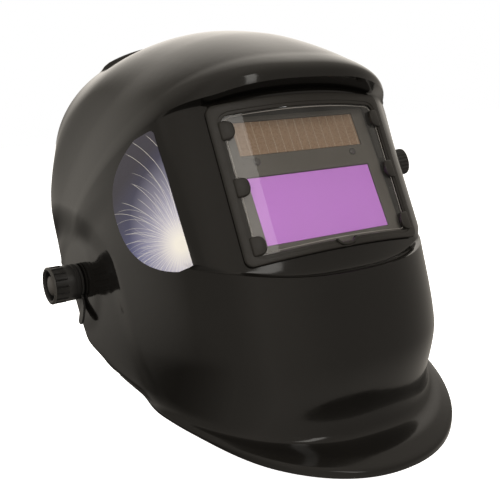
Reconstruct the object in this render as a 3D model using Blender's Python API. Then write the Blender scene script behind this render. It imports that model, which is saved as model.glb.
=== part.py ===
"""Auto-darkening welding helmet, standing on its chin lip and on the nape plate of its headgear.

Model frame: +Z up, the window faces -Y, the wearer's left is +X, the table is Z = 0.
Sizes are in millimetres in three local frames, and new_object scales them to metres:
  window frame   x, d (depth behind the filter), u (up along the filter), origin at the filter's centre
  head frame     x, b (back), u (up), parallel to the window frame, origin on the pivot axis
  turned pieces  local Z along their own axis, from the inside of the helmet outwards
"""

import math

import bmesh
import bpy
import numpy as np
from mathutils import Euler, Matrix, Vector
from mathutils.bvhtree import BVHTree

MM = 0.001
GAP = 0.3  # between neighbouring solids

# Stance
WINDOW_TILT = math.radians(24.1)  # recline of the filter as the helmet stands
FILTER_HEIGHT = 147.1  # filter centre above the table
FILTER_Y = -81.7  # filter centre from the middle of the helmet's depth

# Shell: one row per section, from the crown's rear edge down to the chin lip.  Each section is half a
# superellipse from the middle of the front (depth, up) to the rear edge (half width, depth, up).
SHELL_WALL = 2.4
SECTION_FIELDS = ("at", "mid_d", "mid_u", "half", "rear_d", "rear_u", "power", "bow")
SECTIONS = {
    "crown edge": (0.000, 108.0, 165.6, 105.0, 137.0, 93.0, 2.16, -10.0),
    "crown": (0.150, 59.5, 150.0, 110.0, 146.5, 77.0, 2.12, -4.0),
    "forehead": (0.290, 19.5, 127.0, 111.0, 158.0, 52.0, 2.27, 0.0),
    "brow": (0.370, -18.0, 91.5, 111.0, 162.0, 35.5, 2.68, 10.0),
    "visor edge": (0.400, -31.0, 73.6, 111.0, 164.0, 33.0, 2.83, 16.0),
    "temple": (0.530, -29.0, 20.5, 110.0, 161.0, 18.0, 2.75, 45.0),
    "sill edge": (0.660, -19.0, -48.4, 110.0, 155.0, 6.0, 2.68, 75.0),
    "cheek": (0.800, -7.7, -96.3, 110.0, 153.0, -23.0, 2.57, 25.0),
    "neck": (0.920, 17.4, -135.6, 109.6, 134.0, -47.0, 2.26, 5.0),
    "lip flare": (0.965, 4.3, -149.5, 108.0, 127.5, -55.5, 2.14, 5.0),
    "lip edge": (1.000, -3.9, -158.3, 107.0, 123.0, -58.5, 2.12, 3.0),
}
RIB_HEIGHT, RIB_END_X, RIB_FADE = 2.6, 66.0, 9.0  # stiffening rib along the crown's rear edge
RIB_ROWS = (0.0, 0.009, 0.013)  # its rear edge, the front of its top and its foot, as places between sections
LIP_DROP = 4.2  # the lip's rounded edge turns down this far, square to the table
LIP_TUCK = 0.8
CREASE_X = 86.5  # the flat front meets the temples here
BAND_X = 64.0  # outside the lens frame the front curves back faster

# Front panel, behind the lens frame: a cylinder about the vertical axis
PANEL_MID = -14.5
PANEL_TOP = 64.0
PANEL_LEAN = 0.052
PANEL_RADIUS = 186.0
BAND_DROP = 6.5
VISOR_BAND = 4.5
OPENING_X, OPENING_TOP, OPENING_BOTTOM = 60.0, 60.0, -29.0

# Ear panels are pressed in behind a soft step
EAR_FRONT, EAR_CENTRE_D, EAR_LOW_U, EAR_RISE = 73.0, 150.0, 5.0, 65.0
EAR_INSET, EAR_BACK, EAR_POWER, EAR_SOFT = 5.0, 10.0, 1.5, 0.5
EAR_FADE_U = 102.0  # the step runs out just above the lip

# Pivots
PIVOT_D, PIVOT_U = 149.0, 12.0
PIVOT_FLAT_X = 105.4  # outer face of the shell at the pivot
PIVOT_FLAT_RADIUS = 25.0
PIVOT_BLEND = 12.0
BOLT_RADIUS, BOLT_HOLE = 4.0, 5.0
KNOB_RADIUS, COLLAR_RADIUS, CAP_RADIUS = 12.9, 12.4, 8.2
COLLAR_LENGTH, RING_LENGTH = 9.3, 9.9
LEVER_THICK, LEVER_REACH, LEVER_DISC = 1.6, 30.0, 12.2

# Lens frame and cover lens
FRAME_X, FRAME_TOP, FRAME_BOTTOM, FRAME_CORNER = 64.2, 64.3, -32.0, 5.0
VIEW_X, VIEW_TOP, VIEW_BOTTOM = 57.2, 57.0, -26.8
FRAME_THICK = 2.7
TAB_HEIGHTS, TAB_HALF, TAB_REACH = (48.0, 13.7, -21.0), 6.0, 7.5
NOTCH_HALF, NOTCH_DEPTH = 6.0, 3.0
LENS_SET_BACK, LENS_THICK = 1.5, 1.0

# Filter cartridge
CARTRIDGE_X, CARTRIDGE_TOP, CARTRIDGE_BOTTOM = 55.0, 59.2, -28.2
CARTRIDGE_DEPTH, FRONT_DEPTH, BACK_WALL = 10.0, 4.2, 1.4
FILTER_X, FILTER_U = 46.0, 21.0
SOLAR_BOTTOM, SOLAR_TOP = 34.5, 56.2
SENSOR_X, SENSOR_U, SENSOR_RADIUS = 36.2, 30.0, 2.3

# Shade control on the left temple
SHADE_D, SHADE_U = 40.0, 31.0
SHADE_TURN = math.radians(23.0)  # the temple faces this far forward of +X

# Label on the right temple
LABEL_FRONT, LABEL_TOP, LABEL_BOTTOM, LABEL_REAR = 2.5, 62.0, -20.0, 63.0
LABEL_THICK = 0.3

# Headgear
HEAD_HALF_WIDTH, HEAD_HALF_LENGTH, HEAD_CENTRE_B = 94.0, 98.0, -5.0
BAND_RISE, BAND_SLOPE = 1.3, 40.8
STRAP_RADIUS, STRAP_HALF_WIDTH, STRAP_LEAN = 127.0, 90.0, math.radians(8.0)


# ---------------------------------------------------------------- objects

def clear_scene():
    for item in list(bpy.data.objects):
        bpy.data.objects.remove(item, do_unlink=True)


def material(name, colour, roughness, metallic=0.0, alpha=1.0):
    made = bpy.data.materials.new(name)
    made.use_nodes = True
    shader = made.node_tree.nodes["Principled BSDF"]
    shader.inputs["Base Color"].default_value = (*colour, 1.0)
    shader.inputs["Roughness"].default_value = roughness
    shader.inputs["Metallic"].default_value = metallic
    shader.inputs["Alpha"].default_value = alpha
    made.diffuse_color = (*colour, alpha)
    return made


def empty(name, location, parent=None, rotation=(0.0, 0.0, 0.0)):
    made = bpy.data.objects.new(name, None)
    made.empty_display_size = 0.02
    made.location = Vector(location) * MM
    made.rotation_euler = rotation
    made.parent = parent
    bpy.context.scene.collection.objects.link(made)
    return made


def new_object(name, bm, look, parent, location=(0.0, 0.0, 0.0), rotation=(0.0, 0.0, 0.0)):
    """An object from a bmesh in millimetres, placed in its parent's frame."""
    bmesh.ops.scale(bm, vec=(MM, MM, MM), verts=bm.verts)
    mesh = bpy.data.meshes.new(name)
    bm.to_mesh(mesh)
    bm.free()
    mesh.shade_smooth()
    mesh.set_sharp_from_angle(angle=math.radians(32.0))
    made = bpy.data.objects.new(name, mesh)
    made.location = Vector(location) * MM
    made.rotation_euler = rotation
    made.parent = parent
    mesh.materials.append(look)
    bpy.context.scene.collection.objects.link(made)
    return made


def cut(target, bm, parent, location=(0.0, 0.0, 0.0), rotation=(0.0, 0.0, 0.0)):
    """Take the bmesh away from the target."""
    number = len(target.modifiers)
    cutter = new_object(f"{target.name}_cutter_{number}", bm, target.data.materials[0], parent, location, rotation)
    cutter.display_type = "WIRE"
    cutter.hide_render = True
    boolean = target.modifiers.new(f"cut_{number}", "BOOLEAN")
    boolean.operation = "DIFFERENCE"
    boolean.solver = "EXACT"
    boolean.object = cutter


# ---------------------------------------------------------------- shapes

def outward(bm):
    bmesh.ops.recalc_face_normals(bm, faces=bm.faces)
    return bm


def turned(profile, steps=24, closed=False, flutes=0.0):
    """A solid turned about Z.  Profile points are (radius, z) or (radius, z, True) for a fluted ring."""
    bm = bmesh.new()
    rings = []
    for radius, z, *fluted in profile:
        if radius == 0.0:
            rings.append([bm.verts.new((0.0, 0.0, z))])
            continue
        ring = []
        for step in range(steps):
            angle = 2.0 * math.pi * step / steps
            r = radius - flutes * (step % 2) if fluted else radius
            ring.append(bm.verts.new((r * math.cos(angle), r * math.sin(angle), z)))
        rings.append(ring)
    pairs = list(zip(rings, rings[1:]))
    if closed:
        pairs.append((rings[-1], rings[0]))
    for lower, upper in pairs:
        for step in range(steps):
            after = (step + 1) % steps
            corners = (
                lower[step % len(lower)],
                lower[after % len(lower)],
                upper[after % len(upper)],
                upper[step % len(upper)],
            )
            bm.faces.new(tuple(dict.fromkeys(corners)))
    return outward(bm)


def prism(outline, low, high):
    """An outline in x, y raised from z = low to z = high."""
    bm = bmesh.new()
    rings = [[bm.verts.new((x, y, z)) for x, y in outline] for z in (low, high)]
    count = len(outline)
    for i in range(count):
        j = (i + 1) % count
        bm.faces.new((rings[0][i], rings[0][j], rings[1][j], rings[1][i]))
    bm.faces.new(rings[0])
    bm.faces.new(rings[1])
    return outward(bm)


def box(low, high):
    return prism(((low[0], low[1]), (high[0], low[1]), (high[0], high[1]), (low[0], high[1])), low[2], high[2])


def depth_box(x, d, u):
    """A box in the window frame from (low, high) pairs."""
    return box((x[0], d[0], u[0]), (x[1], d[1], u[1]))


def skin(points, wall_points):
    """A closed solid between two grids of points with the same rows and columns."""
    bm = bmesh.new()
    grids = [[[bm.verts.new(p) for p in row] for row in grid] for grid in (points, wall_points)]
    rows, columns = len(points), len(points[0])
    for grid in grids:
        for i in range(rows - 1):
            for j in range(columns - 1):
                bm.faces.new((grid[i][j], grid[i][j + 1], grid[i + 1][j + 1], grid[i + 1][j]))
    border = [(0, j) for j in range(columns)]
    border += [(i, columns - 1) for i in range(1, rows)]
    border += [(rows - 1, j) for j in range(columns - 2, -1, -1)]
    border += [(i, 0) for i in range(rows - 2, 0, -1)]
    for here, there in zip(border, border[1:] + border[:1]):
        bm.faces.new([grids[k][i][j] for k, (i, j) in ((0, here), (0, there), (1, there), (1, here))])
    return outward(bm)


def windowed_plate(x_lines, u_lines, windows, d_low, d_high):
    """A plate in the window frame on a grid of lines, with the cells listed in windows left open."""
    def solid(i, j):
        inside = 0 <= i < len(x_lines) - 1 and 0 <= j < len(u_lines) - 1
        return inside and (i, j) not in windows

    bm = bmesh.new()
    points = {}

    def vertex(i, j, d):
        key = (i, j, d)
        if key not in points:
            points[key] = bm.verts.new((x_lines[i], d, u_lines[j]))
        return points[key]

    for i in range(len(x_lines) - 1):
        for j in range(len(u_lines) - 1):
            if not solid(i, j):
                continue
            corners = ((i, j), (i + 1, j), (i + 1, j + 1), (i, j + 1))
            for d in (d_low, d_high):
                bm.faces.new([vertex(a, b, d) for a, b in corners])
            neighbours = ((i, j - 1), (i + 1, j), (i, j + 1), (i - 1, j))
            for side, neighbour in enumerate(neighbours):
                if not solid(*neighbour):
                    a, b = corners[side], corners[(side + 1) % 4]
                    bm.faces.new((vertex(*a, d_low), vertex(*b, d_low), vertex(*b, d_high), vertex(*a, d_high)))
    return outward(bm)


def ring_plate(outer, inner, front, back):
    """A flat ring between two outlines with the same number of points; front and back give d at (x, u)."""
    bm = bmesh.new()
    loops = []
    for outline, depth in ((outer, front), (inner, front), (inner, back), (outer, back)):
        loops.append([bm.verts.new((x, depth(x, u), u)) for x, u in outline])
    count = len(outer)
    for first, second in zip(loops, loops[1:] + loops[:1]):
        for i in range(count):
            j = (i + 1) % count
            bm.faces.new((first[i], first[j], second[j], second[i]))
    return outward(bm)


def arc(centre, radius, start, end, steps):
    angles = np.radians(np.linspace(start, end, steps + 1))
    return [(centre[0] + radius * math.cos(a), centre[1] + radius * math.sin(a)) for a in angles]


# ---------------------------------------------------------------- shell surface

def smooth_through(knots, values, at):
    """Monotone cubic interpolation of each column of values."""
    steps = np.diff(knots)[:, None]
    slopes = np.diff(values, axis=0) / steps
    tangents = np.zeros_like(values)
    tangents[0], tangents[-1] = slopes[0], slopes[-1]
    before, after = slopes[:-1], slopes[1:]
    first, last = 2 * steps[1:] + steps[:-1], steps[1:] + 2 * steps[:-1]
    same = before * after > 0
    safe_before = np.where(same, before, 1.0)
    safe_after = np.where(same, after, 1.0)
    tangents[1:-1] = np.where(same, (first + last) / (first / safe_before + last / safe_after), 0.0)
    index = np.clip(np.searchsorted(knots, at, side="right") - 1, 0, len(knots) - 2)
    step = steps[index]
    s = ((at - knots[index]) / step[:, 0])[:, None]
    return (
        (2 * s**3 - 3 * s**2 + 1) * values[index]
        + (s**3 - 2 * s**2 + s) * step * tangents[index]
        + (3 * s**2 - 2 * s**3) * values[index + 1]
        + (s**3 - s**2) * step * tangents[index + 1]
    )


def section(at):
    table = np.array(list(SECTIONS.values()))
    values = smooth_through(table[:, 0], table[:, 1:], np.array([at]))[0]
    return dict(zip(SECTION_FIELDS[1:], values))


def smoothstep(value):
    value = min(max(value, 0.0), 1.0)
    return value * value * (3.0 - 2.0 * value)


def side_share(sec, x):
    """How far round from the front, 0 to 1 in depth, a section is x wide."""
    sine_squared = min(x / sec["half"], 1.0) ** sec["power"]
    return 1.0 - (1.0 - sine_squared) ** (1.0 / sec["power"])


def on_section(sec, share, side):
    """Smooth helmet surface on one section, before the ear panel and the pivot flat are pressed in."""
    x = side * sec["half"] * (1.0 - (1.0 - share) ** sec["power"]) ** (1.0 / sec["power"])
    d = sec["mid_d"] + (sec["rear_d"] - sec["mid_d"]) * share
    u = sec["mid_u"] + (sec["rear_u"] - sec["mid_u"]) * share + sec["bow"] * share * (1.0 - share)
    return Vector((x, d, u))


def press_in(point):
    """The ear panel's step and the flat around the pivot."""
    x, d, u = point
    front = max(0.0, EAR_CENTRE_D - d) / EAR_FRONT
    rise = max(0.0, u - EAR_LOW_U) / EAR_RISE
    level = front**EAR_POWER + rise**EAR_POWER
    weight = smoothstep((1.0 - level) / EAR_SOFT) * smoothstep((u + EAR_FADE_U) / 26.0)
    back = max(0.0, (d - EAR_CENTRE_D + EAR_FRONT) / EAR_FRONT)
    x -= math.copysign(EAR_INSET * weight, x)
    d += EAR_BACK * weight * min(back, 1.0) ** 2
    reach = math.hypot(d - PIVOT_D, u - PIVOT_U)
    flat = smoothstep(1.0 - (reach - PIVOT_FLAT_RADIUS) / PIVOT_BLEND)
    x += (math.copysign(PIVOT_FLAT_X, x) - x) * flat
    return Vector((x, d, u))


def panel_depth(x, u):
    beyond = max(0.0, abs(x) - BAND_X) / (CREASE_X - BAND_X)
    return (
        PANEL_MID + (PANEL_TOP - u) * PANEL_LEAN + x * x / (2.0 * PANEL_RADIUS) + BAND_DROP * beyond**1.5
    )


def frame_depth(x, u):
    """Front face of the lens frame."""
    return panel_depth(x, u) - FRAME_THICK - GAP


def table_direction(back, up):
    """A step back and up, level with the table, in the window frame's d and u."""
    c, s = math.cos(WINDOW_TILT), math.sin(WINDOW_TILT)
    return Vector((0.0, back * c - up * s, back * s + up * c))


def shell_columns(inner, outer):
    """Column places: x for those between the creases, and (side, fraction) for those behind them."""
    middle = sorted({-x for x in inner} | set(inner))
    fractions = [(k + 1) / outer for k in range(outer)]
    left = [("side", -1.0, f) for f in reversed(fractions)]
    right = [("side", 1.0, f) for f in fractions]
    return left + [("front", x, 0.0) for x in middle] + right


def column_share(sec, column):
    kind, value, fraction = column
    if kind == "front":
        return side_share(sec, abs(value))
    start = side_share(sec, CREASE_X)
    return start + (1.0 - start) * fraction**1.15


def shell_point(sec, column):
    return on_section(sec, column_share(sec, column), math.copysign(1.0, column[1]))


def base_normal(at, column):
    """Outward normal of the smooth helmet surface between the creases."""
    step = 0.004
    down = shell_point(section(at + step), column) - shell_point(section(at - step), column)
    near, far = ((column[0], column[1] + shift, column[2]) for shift in (-0.5, 0.5))
    across = shell_point(section(at), far) - shell_point(section(at), near)
    return down.cross(across).normalized()


def window_row(place, column, edge):
    """A point of the recessed front: the visor's lip (0, 1), the sill's ledge (0, 1), or a height on the panel."""
    visor_at, sill_at = SECTIONS["visor edge"][0], SECTIONS["sill edge"][0]
    kind, x, _ = column
    fractions = {"visor": (0.012, 0.03), "sill": (0.97, 0.988)}
    if edge:
        fraction = fractions[edge][place]
    else:
        fraction = 0.06 + 0.88 * (OPENING_TOP - place) / (OPENING_TOP - OPENING_BOTTOM)
    at = visor_at + (sill_at - visor_at) * fraction
    if kind == "side" or abs(x) >= CREASE_X:
        return shell_point(section(at), column)
    fade = smoothstep((CREASE_X - abs(x)) / 30.0)
    top = shell_point(section(visor_at), column)
    low = shell_point(section(sill_at), column)
    if edge == "visor" and place == 0:
        return top + Vector((0.0, 1.2, -VISOR_BAND)) * fade + Vector((0.0, 0.4, -0.6))
    if edge == "sill" and place == 1:
        return low + Vector((0.0, 2.0, 1.2)) * fade + Vector((0.0, 0.4, 0.6))
    if edge == "visor":
        u = top.z - VISOR_BAND * fade - 2.0
    elif edge == "sill":
        u = low.z + 2.0 + 1.5 * fade
    else:
        crease_u = shell_point(section(at), ("front", CREASE_X, 0.0)).z
        u = place + (crease_u - place) * max(0.0, abs(x) - OPENING_X) / (CREASE_X - OPENING_X)
    return Vector((x, panel_depth(x, u), u))


def shell_rows(columns, dome_places, chin_steps, panel_levels):
    """Rows of points, crown edge to chin lip, with the lip's edge turned down."""
    sill_at = SECTIONS["sill edge"][0]
    rows = [[shell_point(section(at), c) for c in columns] for at in dome_places]
    rows += [[window_row(k, c, "visor") for c in columns] for k in (0, 1)]
    rows += [[window_row(u, c, "") for c in columns] for u in panel_levels]
    rows += [[window_row(k, c, "sill") for c in columns] for k in (0, 1)]
    chin = [[shell_point(section(at), c) for c in columns] for at in np.linspace(sill_at, 1.0, chin_steps)]
    rows += chin
    edge = []
    for point, column in zip(chin[-1], columns):
        beside = smoothstep((column_share(section(1.0), column) - 0.2) / 0.3)
        edge.append(point + table_direction(LIP_TUCK, -LIP_DROP) * (1.0 - 0.6 * beside))
    rows.append(edge)
    return [[press_in(point) for point in row] for row in rows]


def with_rib(rows, columns):
    """The outer rows with the crown's rib raised on them."""
    raised = [list(row) for row in rows]
    for i, at in enumerate(RIB_ROWS[:2]):
        for j, (kind, x, fraction) in enumerate(columns):
            if kind == "front" and abs(x) < RIB_END_X:
                rise = RIB_HEIGHT * smoothstep((RIB_END_X - abs(x)) / RIB_FADE)
                raised[i][j] = rows[i][j] + base_normal(at, (kind, x, fraction)) * rise
    return raised


def grid_normals(rows):
    """Outward normals of a grid of points."""
    points = np.array([[tuple(point) for point in row] for row in rows])
    down = np.gradient(points, axis=0)
    across = np.gradient(points, axis=1)
    down[-3] = points[-3] - points[-4]
    normals = np.cross(down, across)
    return normals / np.linalg.norm(normals, axis=2, keepdims=True)


def wall_rows(rows, columns, dome_steps, panel_count):
    """The inside of the shell.  The folds at the visor, the sill and the lip get their own corner offsets."""
    normals = grid_normals(rows)
    upright = table_direction(0.0, 1.0)
    visor_at, sill_at = SECTIONS["visor edge"][0], SECTIONS["sill edge"][0]
    visor, sill, lip = dome_steps - 1, dome_steps + 2 + panel_count, len(rows) - 1
    corners = {
        visor: (visor_at, (0.0, 1.0, -0.6)),
        visor + 1: (visor_at, (0.0, 1.0, 1.0)),
        visor + 2: (visor_at, (0.0, 1.0, 1.0)),
        sill: (sill_at, (0.0, 1.0, -1.0)),
        sill + 1: (sill_at, (0.0, 0.8, -1.0)),
        sill + 2: (sill_at, (0.0, 1.0, -0.7)),
    }
    inside = []
    for i, row in enumerate(rows):
        inner_row = []
        for j, point in enumerate(row):
            step = Vector(normals[i][j]) * -SHELL_WALL
            kind, x, _ = columns[j]
            between = kind == "front" and abs(x) < CREASE_X
            if i in corners and between:
                at, corner = corners[i]
                fade = smoothstep((CREASE_X - abs(x)) / 30.0)
                step = (base_normal(at, columns[j]) * -SHELL_WALL).lerp(Vector(corner) * SHELL_WALL, fade)
            elif between and visor < i < sill:
                slope = panel_depth(abs(x) + 0.5, 0.0) - panel_depth(abs(x) - 0.5, 0.0)
                step = Vector((-math.copysign(slope, x), 1.0, 0.0)).normalized() * SHELL_WALL
            elif i >= lip - 1:
                outward_normal = Vector(normals[lip - 4][j])
                level = (outward_normal - upright * outward_normal.dot(upright)).normalized()
                step = level * -SHELL_WALL
                if i == lip - 1:
                    step = step * 1.1 - upright * 1.5 * abs(level.y)
            inner_row.append(point + step)
        inside.append(inner_row)
    return inside


def build_shell(look, parent, offset):
    inner = (0.0, 15.0, 30.0, 45.0, OPENING_X, 72.0, 80.0, CREASE_X)
    columns = shell_columns(inner, 12)
    levels = (OPENING_TOP, 42.0, 15.0, -12.0, OPENING_BOTTOM)
    dome_places = RIB_ROWS + tuple(np.linspace(0.0, SECTIONS["visor edge"][0], 12)[1:])
    rows = shell_rows(columns, dome_places, 11, levels)
    inside = wall_rows(rows, columns, len(dome_places), len(levels))
    bm = skin(with_rib(rows, columns), inside)
    bm.verts.ensure_lookup_table()
    shell = new_object("shell", bm, look, parent, offset)
    middle = (OPENING_TOP + OPENING_BOTTOM) / 2.0, (OPENING_TOP - OPENING_BOTTOM) / 2.0
    opening = depth_box(
        (-OPENING_X, OPENING_X), (-22.0, 22.0), (middle[0] - middle[1], middle[0] + middle[1])
    )
    cut(shell, opening, parent, offset)
    return shell, rows


# ---------------------------------------------------------------- front window

def lens_frame_outlines():
    """Matching outer and inner outlines, walked from the lower left corner anticlockwise."""
    outer, inner = [], []
    run = np.linspace(-VIEW_X + FRAME_CORNER, VIEW_X - FRAME_CORNER, 11)
    notch = np.linspace(-NOTCH_HALF, NOTCH_HALF, 7)
    bottom_xs = [x for x in run if abs(x) > NOTCH_HALF + 1.0] + list(notch)
    for x in sorted(bottom_xs):
        dip = NOTCH_DEPTH * math.sqrt(max(0.0, 1.0 - (x / NOTCH_HALF) ** 2))
        inner.append((x, VIEW_BOTTOM - dip))
        outer.append((x, FRAME_BOTTOM))
    side = []
    for centre in sorted(TAB_HEIGHTS):
        for place in np.linspace(-1.0, 1.0, 9):
            bulge = (1.0 - abs(place) ** 2.6) ** 0.5
            side.append((centre + TAB_HALF * place, TAB_REACH * bulge))
    corner = FRAME_CORNER
    inner += arc((VIEW_X - corner, VIEW_BOTTOM + corner), corner, -90, 0, 4)[1:-1]
    outer += arc((FRAME_X - corner, FRAME_BOTTOM + corner), corner, -90, 0, 4)[1:-1]
    inner += [(VIEW_X - reach, u) for u, reach in side]
    outer += [(FRAME_X, min(max(u, FRAME_BOTTOM + corner), FRAME_TOP - corner)) for u, _ in side]
    inner += arc((VIEW_X - corner, VIEW_TOP - corner), corner, 0, 90, 4)[1:-1]
    outer += arc((FRAME_X - corner, FRAME_TOP - corner), corner, 0, 90, 4)[1:-1]
    inner += [(x, VIEW_TOP) for x in reversed(run)]
    outer += [(x, FRAME_TOP) for x in reversed(run)]
    inner += arc((-VIEW_X + corner, VIEW_TOP - corner), corner, 90, 180, 4)[1:-1]
    outer += arc((-FRAME_X + corner, FRAME_TOP - corner), corner, 90, 180, 4)[1:-1]
    inner += [(-VIEW_X + reach, u) for u, reach in reversed(side)]
    outer += [(-FRAME_X, min(max(u, FRAME_BOTTOM + corner), FRAME_TOP - corner)) for u, _ in reversed(side)]
    inner += arc((-VIEW_X + corner, VIEW_BOTTOM + corner), corner, 180, 270, 4)[1:-1]
    outer += arc((-FRAME_X + corner, FRAME_BOTTOM + corner), corner, 180, 270, 4)[1:-1]
    return outer, inner


def build_window(looks, parent, offset):
    outer, inner = lens_frame_outlines()
    bm = ring_plate(outer, inner, frame_depth, lambda x, u: frame_depth(x, u) + LENS_SET_BACK - GAP)
    new_object("lens_frame", bm, looks["frame"], parent, offset)

    def lens_depth(x, u):
        return frame_depth(x, u) + LENS_SET_BACK

    margin = 0.5
    xs = np.linspace(-OPENING_X + margin, OPENING_X - margin, 17)
    us = (OPENING_BOTTOM + margin, OPENING_TOP - margin)
    front = [[(x, lens_depth(x, u), u) for x in xs] for u in us]
    back = [[(x, lens_depth(x, u) + LENS_THICK, u) for x in xs] for u in us]
    new_object("cover_lens", skin(front, back), looks["clear"], parent, offset)


def build_cartridge(looks, parent, offset):
    x, bottom, top = CARTRIDGE_X, CARTRIDGE_BOTTOM, CARTRIDGE_TOP
    x_lines = (-x, -FILTER_X, FILTER_X, x)
    u_lines = (bottom, -FILTER_U, FILTER_U, SOLAR_BOTTOM, SOLAR_TOP, top)
    bm = windowed_plate(x_lines, u_lines, {(1, 1), (1, 3)}, 0.0, FRONT_DEPTH)
    new_object("cartridge_front", bm, looks["cartridge"], parent, offset)

    back_front = FRONT_DEPTH + GAP
    bm = depth_box((-x, x), (back_front, CARTRIDGE_DEPTH), (bottom, top))
    back = new_object("cartridge_back", bm, looks["cartridge"], parent, offset)
    pocket = depth_box((-x + 1.6, x - 1.6), (back_front - 1.0, CARTRIDGE_DEPTH - BACK_WALL), (23.0, top - 1.6))
    cut(back, pocket, parent, offset)
    view = depth_box((-FILTER_X, FILTER_X), (0.0, CARTRIDGE_DEPTH + 2.0), (-FILTER_U, FILTER_U))
    cut(back, view, parent, offset)

    inset = GAP
    pieces = {
        "filter_glass": ("filter", (-FILTER_X + inset, FILTER_X - inset), (0.8, 7.0), (-FILTER_U + inset, FILTER_U - inset)),
        "solar_panel": ("solar", (-FILTER_X + inset, FILTER_X - inset), (0.8, 2.4), (SOLAR_BOTTOM + inset, SOLAR_TOP - inset)),
        "circuit_board": ("board", (-50.0, 50.0), (4.6, 5.4), (25.0, 56.0)),
        "inner_cover_lens": ("clear", (-49.6, 49.6), (CARTRIDGE_DEPTH + GAP, 11.3), (-24.6, 24.6)),
    }
    for name, (look, xs, ds, us) in pieces.items():
        new_object(name, depth_box(xs, ds, us), looks[look], parent, offset)

    for side, sign in (("left", 1.0), ("right", -1.0)):
        dome = turned(((0.0, 0.0), (SENSOR_RADIUS, 0.0), (SENSOR_RADIUS, 0.5), (1.4, 1.0), (0.0, 1.1)), 12)
        place = Vector(offset) + Vector((sign * SENSOR_X, -GAP, SENSOR_U))
        new_object(f"arc_sensor_{side}", dome, looks["sensor"], parent, place, (math.radians(90), 0.0, 0.0))
        cell = turned(((0.0, 0.0), (10.0, 0.0), (10.0, 2.4), (0.0, 2.4)), 16)
        place = Vector(offset) + Vector((sign * 30.0, 8.2, 40.0))
        new_object(f"battery_cell_{side}", cell, looks["steel"], parent, place, (math.radians(90), 0.0, 0.0))


def build_holder(looks, parent, offset):
    x_lines = (-61.0, -CARTRIDGE_X - 0.6, CARTRIDGE_X + 0.6, 61.0)
    u_lines = (-36.0, CARTRIDGE_BOTTOM - 0.6, CARTRIDGE_TOP + 0.6, 66.0)
    bm = windowed_plate(x_lines, u_lines, {(1, 1)}, 4.6, CARTRIDGE_DEPTH)
    new_object("cartridge_holder", bm, looks["inner_plastic"], parent, offset)
    x_lines = (-61.0, -50.0, 50.0, 61.0)
    u_lines = (-36.0, -25.0, 25.0, 31.0, 56.0, 66.0)
    bm = windowed_plate(x_lines, u_lines, {(1, 1), (1, 3)}, CARTRIDGE_DEPTH + GAP, 12.3)
    new_object("retaining_frame", bm, looks["inner_plastic"], parent, offset)
    for side, sign in (("left", 1.0), ("right", -1.0)):
        low, high = sorted((sign * 61.4, sign * 64.0))
        clip = depth_box((low, high), (5.0, 14.5), (5.0, 25.0))
        new_object(f"retaining_clip_{side}", clip, looks["steel"], parent, offset)


def build_dial(name, x, looks, parent, offset):
    profile = ((0.0, 0.0), (7.0, 0.0, True), (7.0, 3.6, True), (6.0, 4.4), (0.0, 4.4))
    place = Vector(offset) + Vector((x, CARTRIDGE_DEPTH + GAP, 43.0))
    new_object(name, turned(profile, 24, flutes=0.5), looks["knob"], parent, place, (math.radians(-90), 0.0, 0.0))


# ---------------------------------------------------------------- shade control, label

def build_shade_control(shell, rows, looks, parent, offset):
    mesh = shell_tree(rows)
    hit = mesh.ray_cast(Vector((200.0, SHADE_D, SHADE_U)), Vector((-1.0, 0.0, 0.0)))[0]
    turn = Euler((0.0, math.radians(90), -SHADE_TURN))
    axis = turn.to_matrix() @ Vector((0.0, 0.0, 1.0))
    place = Vector(offset) + hit
    cut(shell, turned(((0.0, -8.0), (4.2, -8.0), (4.2, 8.0), (0.0, 8.0)), 20), parent, place, turn)
    pot = (
        (0.0, -13.0), (8.0, -13.0), (8.0, -4.4), (3.6, -4.4), (3.6, 3.2), (2.8, 3.2), (2.8, 9.0), (0.0, 9.0),
    )
    new_object("shade_potentiometer", turned(pot, 20), looks["steel"], parent, place, turn)
    nut = ((4.0, 1.2), (6.2, 1.2), (6.2, 3.0), (4.0, 3.0))
    new_object("shade_nut", turned(nut, 12, closed=True), looks["steel"], parent, place, turn)
    knob = (
        (0.0, 9.4), (3.2, 9.4), (3.2, 4.6), (6.8, 4.6), (6.8, 2.2), (9.6, 2.2), (9.6, 3.4, True),
        (9.2, 13.6, True), (8.0, 14.8), (0.0, 15.2),
    )
    new_object("shade_knob", turned(knob, 32, flutes=0.7), looks["knob"], parent, place, turn)

    back = hit - axis * (13.0 + GAP)
    curve = bpy.data.curves.new("shade_lead", "CURVE")
    curve.dimensions = "3D"
    curve.bevel_depth = 1.3 * MM
    curve.bevel_resolution = 2
    curve.use_fill_caps = True
    start, end = back, Vector((63.2, 8.0, 50.0))
    leave, arrive = back - axis * 10.0, end + Vector((8.0, 14.0, 0.0))
    spline = curve.splines.new("POLY")
    steps = 14
    spline.points.add(steps)
    for k in range(steps + 1):
        s = k / steps
        weights = ((1 - s) ** 3, 3 * s * (1 - s) ** 2, 3 * s * s * (1 - s), s**3)
        place_mm = sum((p * w for p, w in zip((start, leave, arrive, end), weights)), Vector())
        spline.points[k].co = (*((place_mm + Vector(offset)) * MM), 1.0)
    lead = bpy.data.objects.new("shade_lead", curve)
    lead.parent = parent
    curve.materials.append(looks["rubber"])
    bpy.context.scene.collection.objects.link(lead)


def shell_tree(rows):
    """The shell's outer surface for finding points on it."""
    verts = [point for row in rows for point in row]
    count = len(rows[0])
    faces = []
    for i in range(len(rows) - 1):
        for j in range(count - 1):
            faces.append((i * count + j, (i + 1) * count + j, (i + 1) * count + j + 1, i * count + j + 1))
    return BVHTree.FromPolygons(verts, faces)


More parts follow.
